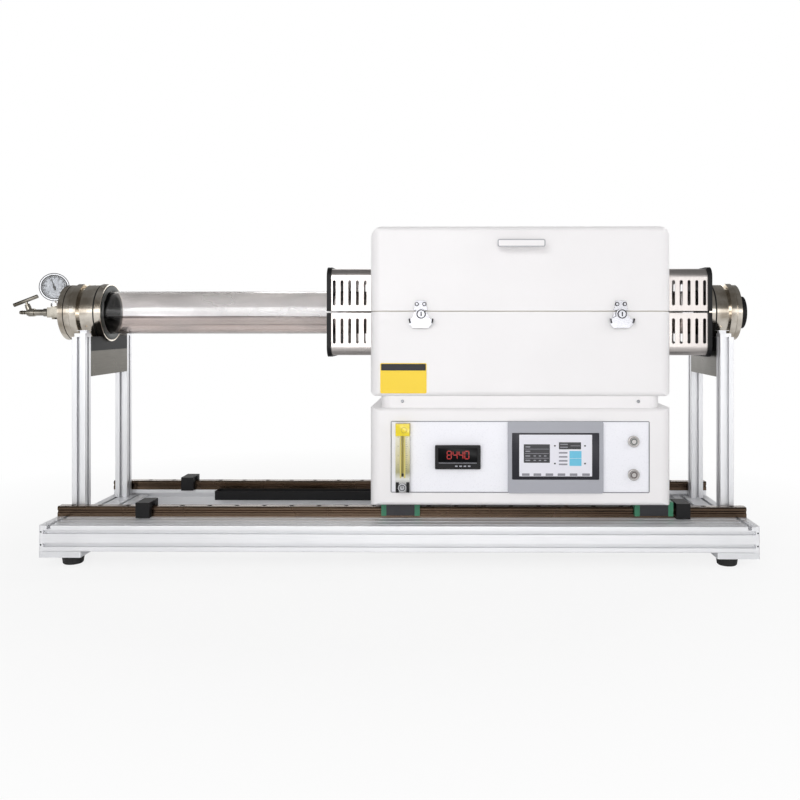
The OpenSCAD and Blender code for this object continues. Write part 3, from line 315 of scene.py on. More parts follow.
def moulded(name, colour, roughness, grain_mm=1.0, depth_mm=0.03, **sockets):
    material, tree, shader, place = new_material(name, colour, roughness=roughness, **sockets)
    texture = add_node(tree, "ShaderNodeTexNoise", {
        "Vector": place, "Scale": 1 / (grain_mm * MM), "Detail": 2.0}).outputs["Fac"]
    surface(tree, shader, texture, depth_mm, strength=0.5, gloss=(roughness - 0.08, roughness + 0.08))
    return material


foot_rubber = moulded("foot_rubber", "#161616", 0.75, grain_mm=1.4, depth_mm=0.08)
seal_rubber = moulded("seal_rubber", "#0a0c0b", 0.55, Specular_IOR_Level=0.25)
black_abs = moulded("black_abs", "#101012", 0.5, Specular_IOR_Level=0.25)
cap_green = moulded("green_end_cap", "#2f7a5a", 0.42)
bezel_grey = moulded("grey_abs_bezel", "#a3a4ac", 0.42)
# Painted shade: the grey line round the lid's handle.
handle_shade_grey = moulded("grey_handle_shade_line", "#a9a9ae", 0.5)
ink_black = moulded("printing_ink_black", "#1a1a1c", 0.6)
varnish_grey = moulded("varnished_winding", "#5d5347", 0.5, grain_mm=2.5, depth_mm=0.2)
plate_yellow = moulded("yellow_enamel_plate", "#f3cf1d", 0.4)
print("plastics are ready")

# %% [markdown]
# ## Lit displays
#
# A display is a dark window with light behind it. Each colour on the screen or in the digits gives
# out a little light of its own, at a strength under 1, so that it keeps its colour and doesn't burn.

# %% Display colours


def display(name, colour, strength):
    return moulded(name, colour, 0.3, Emission_Color=linear(colour), Emission_Strength=strength)


screen_white = display("screen_white", "#d4d3db", 0.15)
screen_ink = display("screen_dark", "#1d1c22", 0.1)
screen_grey = display("screen_grey", "#807f87", 0.1)
screen_cyan = display("screen_cyan", "#5aa9c4", 0.25)
digit_red = display("digit_red", "#a3120f", 0.35)
window_black = moulded("display_window", "#040406", 0.22, Specular_IOR_Level=0.1)
frame_grey = moulded("display_frame", "#24232b", 0.3, Specular_IOR_Level=0.3)
print("display colours are ready")

# %% [markdown]
# ## Ceramic fibre
#
# The insulation is a vacuum-formed fibre board: white, dull and slightly fluffy, with darker flecks
# of unfiberised shot. The noise has many octaves, so it gives both the fluff and the flecks.

# %% Fibre board
FLUFF_MM = 2.2
fibre, tree, shader, place = new_material("ceramic_fibre", "#efece4", roughness=0.95)
fluff = add_node(tree, "ShaderNodeTexNoise", {
    "Vector": place, "Scale": 1 / (FLUFF_MM * MM), "Detail": 6.0})
shade = add_node(tree, "ShaderNodeMix", {
    0: fluff.outputs["Fac"], 6: linear("#d3cdc0"), 7: linear("#f7f4ee")}, data_type="RGBA")
relief = add_node(tree, "ShaderNodeBump", {
    "Height": fluff.outputs["Fac"], "Distance": 0.5 * MM, "Strength": 0.8})
tree.links.new(shade.outputs[2], shader.inputs["Base Color"])
tree.links.new(relief.outputs[0], shader.inputs["Normal"])
print("made", fibre.name)

# %% [markdown]
# ## Quartz
#
# Fused quartz bends light less than window glass, so its IOR is 1.46. A tube that has been hot has a
# faint milky bloom: patches where the polish is gone, drawn out along the tube. The bloom lowers the
# transmission and raises the roughness. The base colour is painted reflection: a ramp along Z that
# makes the lower half darker and brownish grey, where the floor is reflected, with a dark line at the
# upper edge of that half and one lower in it, and lightest across the middle. Streaks break it up.

# %% Quartz tube
BLOOM_MM = 90
STREAK_MM = 7
STREAK_SHIFT = 0.12
# Painted reflection: the floor's reflection as a darker lower half with dark lines, lightest in the
# middle.
PAINTED_REFLECTION = ((0.05, "#776f6c"), (0.085, "#d9d2cf"), (0.2, "#e2dad7"), (0.262, "#ddd5d2"),
        (0.275, "#a09794"), (0.288, "#e3dcd9"), (0.35, "#d8d0cd"), (0.4, "#e0d8d5"),
        (0.435, "#d0c8c5"), (0.447, "#8c8380"), (0.462, "#8c8380"), (0.475, "#faf8f9"),
        (0.66, "#fbfafa"), (0.69, "#e5e2e2"), (1.0, "#dfdcda"))
quartz, tree, shader, place = new_material("fused_quartz", "#ece7ea", roughness=0.03, IOR=1.46)
along = add_node(tree, "ShaderNodeMapping", {"Vector": place, "Scale": (0.35, 1, 1)})
haze = add_node(tree, "ShaderNodeTexNoise", {
    "Vector": along.outputs[0], "Scale": 1 / (BLOOM_MM * MM), "Detail": 3.0})
gloss = add_node(tree, "ShaderNodeMapRange", {
    "Value": haze.outputs["Fac"], "From Min": 0.45, "From Max": 0.7, "To Min": 0.02, "To Max": 0.3})
clear = add_node(tree, "ShaderNodeMapRange", {
    "Value": haze.outputs["Fac"], "From Min": 0.5, "From Max": 0.66, "To Min": 1.0, "To Max": 0.72})
drawn = add_node(tree, "ShaderNodeMapping", {"Vector": place, "Scale": (0.02, 1, 1)})
streak = add_node(tree, "ShaderNodeTexNoise", {
    "Vector": drawn.outputs[0], "Scale": 1 / (STREAK_MM * MM), "Detail": 2.0})
height = add_node(tree, "ShaderNodeSeparateXYZ", {0: place}).outputs[2]
level = add_node(tree, "ShaderNodeMapRange", {
    "Value": height, "From Min": tube.lo.z, "From Max": tube.hi.z})
ragged = add_node(tree, "ShaderNodeMath", {
    0: streak.outputs["Fac"], 1: STREAK_SHIFT, 2: level.outputs[0]}, operation="MULTIPLY_ADD")
painted_reflection = add_node(tree, "ShaderNodeValToRGB", {0: ragged.outputs[0]})
fill_ramp(painted_reflection, PAINTED_REFLECTION)
tree.links.new(painted_reflection.outputs[0], shader.inputs["Base Color"])
tree.links.new(gloss.outputs[0], shader.inputs["Roughness"])
tree.links.new(clear.outputs[0], shader.inputs["Transmission Weight"])
print("made", quartz.name)

# %% [markdown]
# ## Glass and acrylic
#
# A glass cover over a dial is thin and clean. The flow meter's block is cast acrylic, polished on its
# faces, that has yellowed: palest in the middle, strongest at the thick upper end. The tint is a ramp
# along Z, measured on the block itself.

# %% Cover glass
SMEAR_MM = 15
cover_glass, tree, shader, place = new_material(
    "cover_glass", "#fafcfc", roughness=0.01, IOR=1.5, Transmission_Weight=1.0)
smear = add_node(tree, "ShaderNodeTexNoise", {"Vector": place, "Scale": 1 / (SMEAR_MM * MM)})
gloss = add_node(tree, "ShaderNodeMapRange", {
    "Value": smear.outputs["Fac"], "To Min": 0.0, "To Max": 0.05})
tree.links.new(gloss.outputs[0], shader.inputs["Roughness"])
print("made", cover_glass.name)

# %% Flow-meter acrylic
TINT = ((0.0, "#b9b9ba"), (0.12, "#c4c4c2"), (0.2, "#fbfbf6"), (0.3, "#b9b488"), (0.5, "#ebe3b4"),
        (0.8, "#fffbe6"), (0.84, "#f5e768"), (1.0, "#efd83a"))
flow = Span("flow_meter_body")
acrylic, tree, shader, place = new_material(
    "yellowed_acrylic", "#f2ecd0", roughness=0.12, IOR=1.49, Transmission_Weight=0.25)
height = add_node(tree, "ShaderNodeSeparateXYZ", {0: place}).outputs[2]
climb = add_node(tree, "ShaderNodeMapRange", {
    "Value": height, "From Min": flow.lo.z, "From Max": flow.hi.z})
tint = add_node(tree, "ShaderNodeValToRGB", {0: climb.outputs[0]})
fill_ramp(tint, TINT)
tree.links.new(tint.outputs[0], shader.inputs["Base Color"])
print("made", acrylic.name)

# %% [markdown]
# ## Painting the CAD pieces
#
# The frame's pieces already have their shape, so each only needs its finish. A table of finishes,
# each with the pieces that wear it, says at a glance what the furnace is made of.

# %% Finishes of the CAD pieces
FINISHES = [
    (white_coat, ["control_box", "rear_panel", "plinth", "chamber_shell", "chamber_lid", "lid_handle"]),
    (panel_coat, ["control_panel"]),
    (dial_coat, ["gauge_dial"]),
    (black_coat, ["rail_stops", "tube_cradles", "lower_guard_ends", "lid_guard_ends", "gauge_needle"]),
    (anodised_x, ["side_beams", "beam_end_caps"]),
    (anodised_y, ["cross_members"]),
    (anodised_z, ["support_posts", "post_caps"]),
    (ground_rail, ["linear_rails"]),
    (brushed_dark, ["saddle_plates"]),
    (guard_sheet, ["lower_guards", "lid_guards"]),
    (flange_metal, ["clamp_rings", "seal_sleeves", "left_end_flange", "right_end_flange"]),
    (fitting_metal, ["gauge_tee", "valve_body", "valve_handle", "thermocouple"]),
    (nickel, ["latch_bases", "latch_keepers", "left_latch_wing", "right_latch_wing"]),
    (chrome, ["gauge_case", "flow_meter_knob"]),
    (satin_steel, ["hinge_brackets", "lid_hinges", "button_rings", "flow_meter_float"]),
    (worn_steel, ["start_button", "stop_button"]),
    (zinc, ["flange_screws"]),
    (dark_steel, ["carriages"]),
    (oxide_wire, ["lower_heater", "lid_heater"]),
    (foot_rubber, ["rubber_feet"]),
    (seal_rubber, ["flange_seals"]),
    (black_abs, ["cable_trough", "port_cap", "panel_meter"]),
    (cap_green, ["carriage_end_caps"]),
    (bezel_grey, ["touch_screen"]),
    (varnish_grey, ["power_unit"]),
    (fibre, ["tube_plugs", "lower_insulation", "lid_insulation"]),
    (quartz, ["quartz_tube"]),
    (cover_glass, ["gauge_glass"]),
    (acrylic, ["flow_meter_body"]),
]

painted = 0
for finish, nodes in FINISHES:
    for node in nodes:
        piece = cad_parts[node]
        piece.data.materials.clear()
        piece.data.materials.append(finish)
        painted += 1
print("painted", painted, "of", len(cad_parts), "pieces")

# %% [markdown]
# ## Ways of working on a new piece
#
# A new piece is built as by hand: a primitive is added, faces are picked by where they lie, and then
# inset, extruded or bevelled. A few small helpers do what the mouse would do: pick faces, put the
# finished mesh in its place, and copy it. A piece is modelled at the origin, facing the front, which
# is -Y, and then carried to where it belongs.

# %% Helpers for modelling
SMOOTH_UNDER = math.radians(30)


def pick_faces(piece, test):
    """In edit mode, select the faces whose middle and normal pass the test."""
    bpy.ops.mesh.select_mode(type="FACE")
    bpy.ops.mesh.select_all(action="DESELECT")
    mesh = bmesh.from_edit_mesh(piece.data)
    for face in mesh.faces:
        face.select_set(test(face.calc_center_median(), face.normal))
    bmesh.update_edit_mesh(piece.data)


def facing_front(centre, normal):
    return normal.y < -0.9


def carry(piece, place):
    """Carry a piece's mesh to a point or by a matrix. The object itself stays at the origin."""
    piece.data.transform(place if isinstance(place, Matrix) else Matrix.Translation(place))


def turned_to(direction):
    """Rotation that carries the front direction, -Y, to another direction."""
    return Vector((0, -1, 0)).rotation_difference(Vector(direction)).to_matrix().to_4x4()


def joined(pieces, name):
    """Join pieces into one object."""
    bpy.ops.object.select_all(action="DESELECT")
    for piece in pieces:
        piece.select_set(True)
    bpy.context.view_layer.objects.active = pieces[0]
    if len(pieces) > 1:
        bpy.ops.object.join()
    pieces[0].name = name
    return pieces[0]


def row(piece, places, name):
    """Copy piece to each place, a point or a matrix, join the copies, and drop the original."""
    copies = []
    for place in places:
        copy = piece.copy()
        copy.data = piece.data.copy()
        copy.name = name
        carry(copy, place)
        bpy.context.scene.collection.objects.link(copy)
        copies.append(copy)
    bpy.data.objects.remove(piece)
    return joined(copies, name)


def around(centre, axis, offset, count):
    """Places of count copies, spread evenly round an axis through centre, each at an offset from it."""
    turns = [Matrix.Rotation(2 * math.pi * i / count, 4, axis) for i in range(count)]
    return [Matrix.Translation(centre) @ turn @ Matrix.Translation(offset) for turn in turns]


def finish_piece(piece, material, body):
    """Give a piece its material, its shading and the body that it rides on."""
    piece.data.materials.clear()
    piece.data.materials.append(material)
    bpy.ops.object.select_all(action="DESELECT")
    piece.select_set(True)
    bpy.context.view_layer.objects.active = piece
    bpy.ops.object.shade_smooth_by_angle(angle=SMOOTH_UNDER)
    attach(piece, body)
    print("made", piece.name, "with", len(piece.data.polygons), "faces")


def put(piece, place, name, material, body):
    """Carry one piece to its place, name it and finish it."""
    carry(piece, place)
    piece.name = name
    finish_piece(piece, material, body)


# %% [markdown]
# ## Plates and prints
#
# Screen tiles, printed marks and cover plates are all thin plates with corners that are more or less
# round. One is a plane whose corners are bevelled and which is then extruded. Printed marks are as
# thin as ink, 0.15 mm, which is enough to stop them from flickering with the surface under them.
# Some plates have a lowered middle, and some are open, so that only a rim is left.

# %% Plates
INK = 0.15 * MM
SHARP_OVER = math.radians(40)


def plate(width, height, thickness, corner=0.0, steps=3):
    """A plate in the XZ plane. Its back is at y = 0 and its front at -thickness. Metres."""
    bpy.ops.object.select_all(action="DESELECT")
    bpy.ops.mesh.primitive_plane_add(size=1, rotation=(math.radians(90), 0, 0))
    piece = bpy.context.object
    piece.scale = (width, height, 1)
    bpy.ops.object.transform_apply()
    bpy.ops.object.mode_set(mode="EDIT")
    bpy.ops.mesh.select_all(action="SELECT")
    if corner:
        bpy.ops.mesh.bevel(offset=corner, segments=steps, affect="VERTICES")
    bpy.ops.mesh.extrude_region_move(TRANSFORM_OT_translate={"value": (0, -thickness, 0)})
    bpy.ops.mesh.select_all(action="SELECT")
    bpy.ops.mesh.normals_make_consistent(inside=False)
    bpy.ops.object.mode_set(mode="OBJECT")
    return piece


def sink_middle(piece, rim, depth):
    """Lower the middle of a piece's front by depth and leave a rim round it."""
    bpy.ops.object.mode_set(mode="EDIT")
    pick_faces(piece, facing_front)
    bpy.ops.mesh.inset(thickness=rim)
    bpy.ops.mesh.extrude_region_move(TRANSFORM_OT_translate={"value": (0, depth, 0)})
    bpy.ops.object.mode_set(mode="OBJECT")


def open_plate(width, height, thickness, corner, rim):
    """A plate whose middle is cut out, so that a rim is left."""
    piece = plate(width, height, thickness, corner)
    bpy.ops.object.mode_set(mode="EDIT")
    pick_faces(piece, lambda centre, normal: abs(normal.y) > 0.9)
    bpy.ops.mesh.inset(thickness=rim)
    bpy.ops.mesh.bridge_edge_loops()
    bpy.ops.mesh.select_all(action="SELECT")
    bpy.ops.mesh.normals_make_consistent(inside=False)
    bpy.ops.object.mode_set(mode="OBJECT")
    return piece


def round_off(piece, width):
    """Bevel the sharp edges of a finished form."""
    bevel = piece.modifiers.new("edges", "BEVEL")
    bevel.width, bevel.segments = width, 2
    bevel.limit_method, bevel.angle_limit = "ANGLE", SHARP_OVER
    bpy.context.view_layer.objects.active = piece
    bpy.ops.object.modifier_apply(modifier=bevel.name)


def lettering(text, height):
    """Text that stands in the XZ plane and faces the front, centred on the origin."""
    bpy.ops.object.select_all(action="DESELECT")
    bpy.ops.object.text_add(rotation=(math.radians(90), 0, 0))
    piece = bpy.context.object
    piece.data.body, piece.data.size, piece.data.extrude = text, height, INK / 2
    piece.data.align_x, piece.data.align_y = "CENTER", "CENTER"
    piece.data.resolution_u = 3
    bpy.ops.object.convert(target="MESH")
    bpy.ops.object.transform_apply()
    return piece


# %% [markdown]
# ## Screws
#
# Most screws here are socket head cap screws: a low cylinder with a rounded rim and a hexagonal
# hole for the key. The hole is made by insetting the front face, so it has the cylinder's eighteen
# sides, which at this size can't be told from six. One screw is modelled for each size and the rest
# are copies.

# %% A cap screw


def cap_screw(radius, height, socket=0.55):
    """A screw head on the XZ plane, with its socket facing -Y. socket is a share of the radius."""
    bpy.ops.object.select_all(action="DESELECT")
    bpy.ops.mesh.primitive_cylinder_add(
        vertices=18, radius=radius, depth=height, location=(0, -height / 2, 0),
        rotation=(math.radians(90), 0, 0))
    piece = bpy.context.object
    bpy.ops.object.transform_apply()
    bpy.ops.object.mode_set(mode="EDIT")
    pick_faces(piece, facing_front)
    bpy.ops.mesh.bevel(offset=radius * 0.12, segments=2)
    bpy.ops.object.mode_set(mode="OBJECT")
    sink_middle(piece, radius * (0.88 - socket), height * 0.6)
    return piece


# %% [markdown]
# ## Rail screws
#
# Each linear rail is bolted down every 60 mm through counterbored holes, with M6 screws whose heads
# lie just under the rail's top. They are real holes in the frame, so only the heads are added.

# %% Screws in the rails
RAIL_PITCH = 60 * MM
RAIL_W = 23 * MM
RAIL_SCREWS = 25
COUNTERBORE = 9 * MM
screw = cap_screw(5 * MM, 6 * MM)
carry(screw, turned_to((0, 0, 1)))
places = []
for side in (-1, 1):
    y = side * (rails.hi.y - RAIL_W / 2)
    for i in range(RAIL_SCREWS):
        x = rails.mid.x + (i - (RAIL_SCREWS - 1) / 2) * RAIL_PITCH
        places.append(Vector((x, y, rails.hi.z - COUNTERBORE)))
finish_piece(row(screw, places, "rail_screws"), zinc, "base")

# %% [markdown]
# ## Screws of the brackets between the posts
#
# The stainless brackets are bolted to the inner faces of the posts through their side tabs, and the
# black cradles sit on their shelves. The bolt heads face the middle of the furnace's base.

# %% Bracket screws
bracket = Span("saddle_plates")
posts = Span("support_posts")
POST_W = 30 * MM
TAB_T = 2 * MM
screw = cap_screw(5.2 * MM, 5 * MM)
places = []
for end in (-1, 1):
    x = bracket.mid.x + end * (posts.size.x - POST_W) / 2
    for side in (-1, 1):
        y = side * (bracket.hi.y - TAB_T)
        for share in (0.25, 0.75):
            z = bracket.lo.z + share * bracket.size.z
            places.append(Matrix.Translation((x, y, z)) @ turned_to((0, -side, 0)))
finish_piece(row(screw, places, "bracket_screws"), zinc, "base")

# %% [markdown]
# ## End cap screws
#
# The moulded end caps of the beams are held by small countersunk screws: two at each outer side and
# four at each end. Their heads are nearly flush, so a low head is enough.

# %% Screws of the beam end caps
caps = Span("beam_end_caps")
BEAM_W = 108 * MM
END_CAP_T = 9 * MM
SIDE_SEAT = 2.6 * MM
END_SEAT = 2 * MM
UP = (0.25, 0.75)
small = cap_screw(1.9 * MM, 1.2 * MM, 0.5)
places = []
for end in (-1, 1):
    x = caps.mid.x + end * (caps.size.x - END_CAP_T) / 2
    for side in (-1, 1):
        y = side * (caps.size.y / 2 - SIDE_SEAT)
        for up in UP:
            z = caps.lo.z + up * caps.size.z
            places.append(Matrix.Translation((x, y, z)) @ turned_to((0, side, 0)))
finish_piece(row(small, places, "end_cap_front_screws"), black_screw, "base")

head = cap_screw(3.8 * MM, 1.6 * MM, 0.5)
places = []
for end in (-1, 1):
    x = caps.mid.x + end * (caps.size.x / 2 - END_SEAT)
    for side in (-1, 1):
        for share in (0.125, 0.875):
            y = side * (caps.size.y / 2 - share * BEAM_W)
            for up in UP:
                z = caps.lo.z + up * caps.size.z
                places.append(Matrix.Translation((x, y, z)) @ turned_to((end, 0, 0)))
finish_piece(row(head, places, "end_cap_side_screws"), zinc, "base")

# %% [markdown]
# ## Post caps
#
# The posts are open extrusions, each closed by a pressed-in cap with a raised edge. The frame has
# the cap's body, so the raised part is added on its top: a plate with a lowered field.

# %% Raised fields on the post caps
post_caps = Span("post_caps")
field = plate(24 * MM, 24 * MM, 0.8 * MM, 2.5 * MM)
sink_middle(field, 3 * MM, 0.6 * MM)
carry(field, turned_to((0, 0, 1)))
places = []
for end in (-1, 1):
    x = post_caps.mid.x + end * (post_caps.size.x - POST_W) / 2
    for side in (-1, 1):
        places.append(Vector((x, side * (post_caps.hi.y - POST_W / 2), post_caps.hi.z)))
finish_piece(row(field, places, "post_cap_fields"), anodised_z, "base")

# %% [markdown]
# ## The gauge's dial
#
# The vacuum gauge is turned towards the furnace, so that it is read from there. Its scale runs over
# 270 degrees. All marks are modelled once at twelve o'clock and turned about the dial's centre, and
# then the whole print is turned with the gauge about its stem.

# %% Scale of the gauge
dial = Span("gauge_dial")
DIAL_R = dial.size.z / 2
GAUGE_TURN = math.radians(25)
DIAL_FACE = -1 * MM
SCALE_HALF = math.radians(135)
on_dial = Matrix.Translation(dial.mid) @ Matrix.Rotation(GAUGE_TURN, 4, "Z")


def dial_marks(count, width, length, radius, name):
    """Marks spread over the scale, with their outer ends at radius."""
    mark = plate(width, length, INK)
    carry(mark, (0, DIAL_FACE, radius - length / 2))
    places = []
    for i in range(count):
        angle = -SCALE_HALF + 2 * SCALE_HALF * i / (count - 1)
        places.append(on_dial @ Matrix.Rotation(angle, 4, "Y"))
    finish_piece(row(mark, places, name), ink_black, "base")


SCALE_R = DIAL_R - 3.4 * MM
dial_marks(51, 0.7 * MM, 3.0 * MM, SCALE_R, "dial_fine_marks")
dial_marks(11, 1.6 * MM, 5.6 * MM, SCALE_R, "dial_main_marks")

# %% Numbers on the dial
NUMBER_R = DIAL_R - 11.5 * MM
FIGURES = ("0", "2", "4", "6", "8", "10")
numbers = []
for i, figure in enumerate(FIGURES):
    angle = -SCALE_HALF + 2 * SCALE_HALF * i / (len(FIGURES) - 1)
    number = lettering(figure, 6.6 * MM)
    spot = Vector((NUMBER_R * math.sin(angle), DIAL_FACE, NUMBER_R * math.cos(angle)))
    carry(number, on_dial @ Matrix.Translation(spot))
    numbers.append(number)
finish_piece(joined(numbers, "dial_numbers"), ink_black, "base")

# %% [markdown]
# ## Rings
#
# The black ring on the dial's edge is painted shadow, that of the case's rim, and the dark line round
# the case's rim is painted shade. Round seals and seats elsewhere have the same form: a disc whose
# middle is inset and deleted, extruded to its depth and then bevelled.

# %% A ring


def ring(outer, inner, depth, sides=64, bevel=0.3 * MM):
    """A ring about the Y axis, with its back at y = 0 and its front at -depth."""
    bpy.ops.object.select_all(action="DESELECT")
    bpy.ops.mesh.primitive_circle_add(
        vertices=sides, radius=outer, fill_type="NGON", rotation=(math.radians(90), 0, 0))
    piece = bpy.context.object
    bpy.ops.object.transform_apply()
    bpy.ops.object.mode_set(mode="EDIT")
    bpy.ops.mesh.select_all(action="SELECT")
    bpy.ops.mesh.inset(thickness=outer - inner)
    bpy.ops.mesh.delete(type="FACE")
    bpy.ops.mesh.select_all(action="SELECT")
    bpy.ops.mesh.extrude_region_move(TRANSFORM_OT_translate={"value": (0, -depth, 0)})
    bpy.ops.mesh.select_all(action="SELECT")
    bpy.ops.mesh.normals_make_consistent(inside=False)
    bpy.ops.object.mode_set(mode="OBJECT")
    round_off(piece, bevel)
    return piece


# %% Rings of the gauge
RIM_OUT = 10 * MM
# Painted shadow: a black ring on the dial's edge. Painted shade: a dark line round the case's rim.
dial_shadow_ring = ring(DIAL_R + 0.05 * MM, DIAL_R - 2.2 * MM, 5.5 * MM)
carry(dial_shadow_ring, on_dial @ Matrix.Translation((0, DIAL_FACE, 0)))
finish_piece(dial_shadow_ring, black_abs, "base")
rim_shadow_line = ring(DIAL_R + 4.15 * MM, DIAL_R + 2.5 * MM, 0.5 * MM, bevel=0.1 * MM)
place = on_dial @ Matrix.Translation((0, DIAL_FACE - RIM_OUT, 0))
put(rim_shadow_line, place, "gauge_rim_shadow_line", ink_black, "base")

# %% [markdown]
# ## The panel meter
#
# A 96 by 48 mm controller: a smoked window over a row of lit digits, and four keys under it. A
# digit has seven bars. Each bar is a thin plate whose corners are cut back until its ends are
# pointed, and a digit is a list of the bars that are lit. The number shown is only an example.

# %% Window of the panel meter
meter = Span("panel_meter")
METER_X = meter.mid.x
METER_FACE = meter.lo.y + 1.5 * MM
METER_Z = meter.mid.z
WINDOW_Z = METER_Z + 5 * MM
WINDOW_T = 0.9 * MM
window = plate(82 * MM, 29 * MM, WINDOW_T, 1.2 * MM)
round_off(window, 0.25 * MM)
put(window, (METER_X, METER_FACE, WINDOW_Z), "meter_window", window_black, "furnace")

# %% Lit digits
DIGIT_W = 8.6 * MM
DIGIT_H = 16 * MM
DIGIT_PITCH = 12.4 * MM
BAR_T = 1.7 * MM
ALONG = Matrix.Identity(4)
UPRIGHT = Matrix.Rotation(math.radians(90), 4, "Y")
BARS = {
    "top": (0, DIGIT_H / 2, ALONG), "middle": (0, 0, ALONG), "bottom": (0, -DIGIT_H / 2, ALONG),
    "upper_left": (-DIGIT_W / 2, DIGIT_H / 4, UPRIGHT),
    "upper_right": (DIGIT_W / 2, DIGIT_H / 4, UPRIGHT),
    "lower_left": (-DIGIT_W / 2, -DIGIT_H / 4, UPRIGHT),
    "lower_right": (DIGIT_W / 2, -DIGIT_H / 4, UPRIGHT),
}
LIT = {
    "8": list(BARS), "0": [bar for bar in BARS if bar != "middle"],
    "4": ["upper_left", "upper_right", "middle", "lower_right"],
}
SHOWN = "8440"
bar = plate(DIGIT_H / 2 - 0.6 * MM, BAR_T, INK, BAR_T / 2 - 0.05 * MM, steps=1)
centre = Matrix.Translation((METER_X + 0.5 * MM, METER_FACE - WINDOW_T, WINDOW_Z))
places = []
for i, figure in enumerate(SHOWN):
    out = (i - (len(SHOWN) - 1) / 2) * DIGIT_PITCH
    for bar_name in LIT[figure]:
        x, z, turn = BARS[bar_name]
        places.append(centre @ Matrix.Translation((out + x, 0, z)) @ turn)
finish_piece(row(bar, places, "meter_digits"), digit_red, "furnace")

# %% Keys and frame lines of the panel meter
KEY_X = (-3, 6, 15, 24)
key = plate(5.4 * MM, 2.8 * MM, 0.7 * MM, 0.6 * MM)
round_off(key, 0.2 * MM)
places = [Vector((METER_X + x * MM, meter.lo.y + 0.4 * MM, METER_Z - 18.5 * MM)) for x in KEY_X]
finish_piece(row(key, places, "meter_keys"), bezel_grey, "furnace")

line = plate(80 * MM, 0.8 * MM, 0.5 * MM, 0.2 * MM)
place = (METER_X, METER_FACE, METER_Z - 12 * MM)
put(line, place, "meter_frame_line", bezel_grey, "furnace")

# %% [markdown]
# ## The touch screen
#
# A 7 inch operator panel. The grey bezel is in the frame; the glass, the lit picture and what the
# picture shows are added. Everything on the screen is a tile, placed from the glass's centre, with
# x to the right and z up. The tables are dark tiles with lighter lines between their rows.

# %% Glass and lit area
screen = Span("touch_screen")
GLASS_W = 0.915 * screen.size.x
GLASS_H = 0.655 * screen.size.z
GLASS_X = screen.mid.x
GLASS_Z = screen.mid.z + 2.5 * MM
GLASS_Y = screen.lo.y + 1 * MM
GLASS_T = 0.7 * MM
LAYER = 0.12 * MM
glass = plate(GLASS_W - 0.6 * MM, GLASS_H - 0.6 * MM, GLASS_T, 1.8 * MM)
round_off(glass, 0.2 * MM)
put(glass, (GLASS_X, GLASS_Y, GLASS_Z), "screen_glass", frame_grey, "furnace")


def screen_tiles(spots, width, height, layer, finish, name, corner=0.3):
    """Equal tiles on the screen, in mm from the glass's centre. A higher layer lies in front."""
    tile = plate(width * MM, height * MM, LAYER, corner * MM)
    y = GLASS_Y - GLASS_T - layer * LAYER
    places = [Vector((GLASS_X + x * MM, y, GLASS_Z + z * MM)) for x, z in spots]
    finish_piece(row(tile, places, name), finish, "furnace")


screen_tiles([(0, 1.6)], 153, 87.6, 0, screen_white, "screen_picture")

# %% Tables on the screen
TABLE_X = -39.6
TABLE_Z = 5.8
TABLE_H = 39.0


def down_table(shares, *across):
    """Spots in the table: for each share of its height from the top, one at each x of across."""
    return [(x, TABLE_Z + TABLE_H * (0.5 - share)) for share in shares for x in across]


screen_tiles([(TABLE_X, TABLE_Z)], 54.9, TABLE_H, 1, screen_ink, "screen_table")
rows = down_table((0.26, 0.5, 0.75), TABLE_X)
screen_tiles(rows, 51.0, 1.0, 2, screen_grey, "screen_table_lines", 0.1)
names = down_table((0.14, 0.38, 0.63, 0.87), -58.5)
screen_tiles(names, 10.0, 2.6, 2, screen_grey, "screen_table_names")
values = down_table((0.63, 0.87), -44, -33, -22)
screen_tiles(values, 5.0, 2.2, 2, screen_grey, "screen_table_values")
screen_tiles([(30.1, 22.2)], 46.5, 14.8, 1, screen_ink, "screen_header")
screen_tiles([(17.5, 25.2), (17.5, 19.2)], 16.0, 2.2, 2, screen_grey, "screen_header_names")
screen_tiles([(41.5, 22.2)], 20.0, 1.0, 2, screen_grey, "screen_header_line", 0.1)

# %% Buttons and bars on the screen
screen_tiles([(41.7, 3.6), (41.7, -12.4)], 25.3, 15.4, 1, screen_cyan, "screen_cyan_fields")
names = [(15.8, 7.4), (15.8, -1.1), (15.8, -9.5), (15.8, -16.9)]
screen_tiles(names, 18.0, 3.4, 1, screen_grey, "screen_row_names")
marks = [(-1.6, 22.2), (61.7, 22.2), (-1.6, -15.2), (61.7, -15.2)]
screen_tiles(marks, 4.0, 3.2, 1, screen_ink, "screen_corner_marks", 1.2)
keys = [(x, -38.6) for x in (-62.8, -38.5, -13.2, 12.2, 37.6, 63.8)]
screen_tiles(keys, 16.0, 5.4, 1, screen_grey, "screen_keys", 0.8)

# %% [markdown]
# ## The flow meter
#
# A small rotameter: gas rises through a bore in the block and lifts a float, and the scale beside the
# slot is read at the float. A knurled knob at its foot sets the flow. The bore's back shows the olive
# tint of thick acrylic, so a narrow strip lies against it, behind the float, and two more lie beside
# the slot. All three give out a faint light of their own, painted light against the slot's shade. The
# scale leaves 10 mm free at each end of the bore.

# %% Sight strip of the flow meter
FLOW_X = flow.mid.x
FLOW_FRONT = flow.lo.y
BORE_Y = FRONT_Y + 4 * MM
STRIP_OFF = 4.3 * MM
FLOW_SEAT = 30 * MM
FLOW_BORE_H = flow.size.z - 1.6 * FLOW_SEAT
# Painted light: the olive strips glow faintly, though they are no lamp.
glowing_strip_material = display("olive_sight_strip_painted_glow", "#b3a658", 0.3)
strip = plate(4.6 * MM, FLOW_BORE_H - 8 * MM, 0.3 * MM, 1.2 * MM)
strip_z = flow.lo.z + FLOW_SEAT + FLOW_BORE_H / 2
place = (FLOW_X, BORE_Y + STRIP_OFF, strip_z)
put(strip, place, "flow_sight_strip", glowing_strip_material, "furnace")

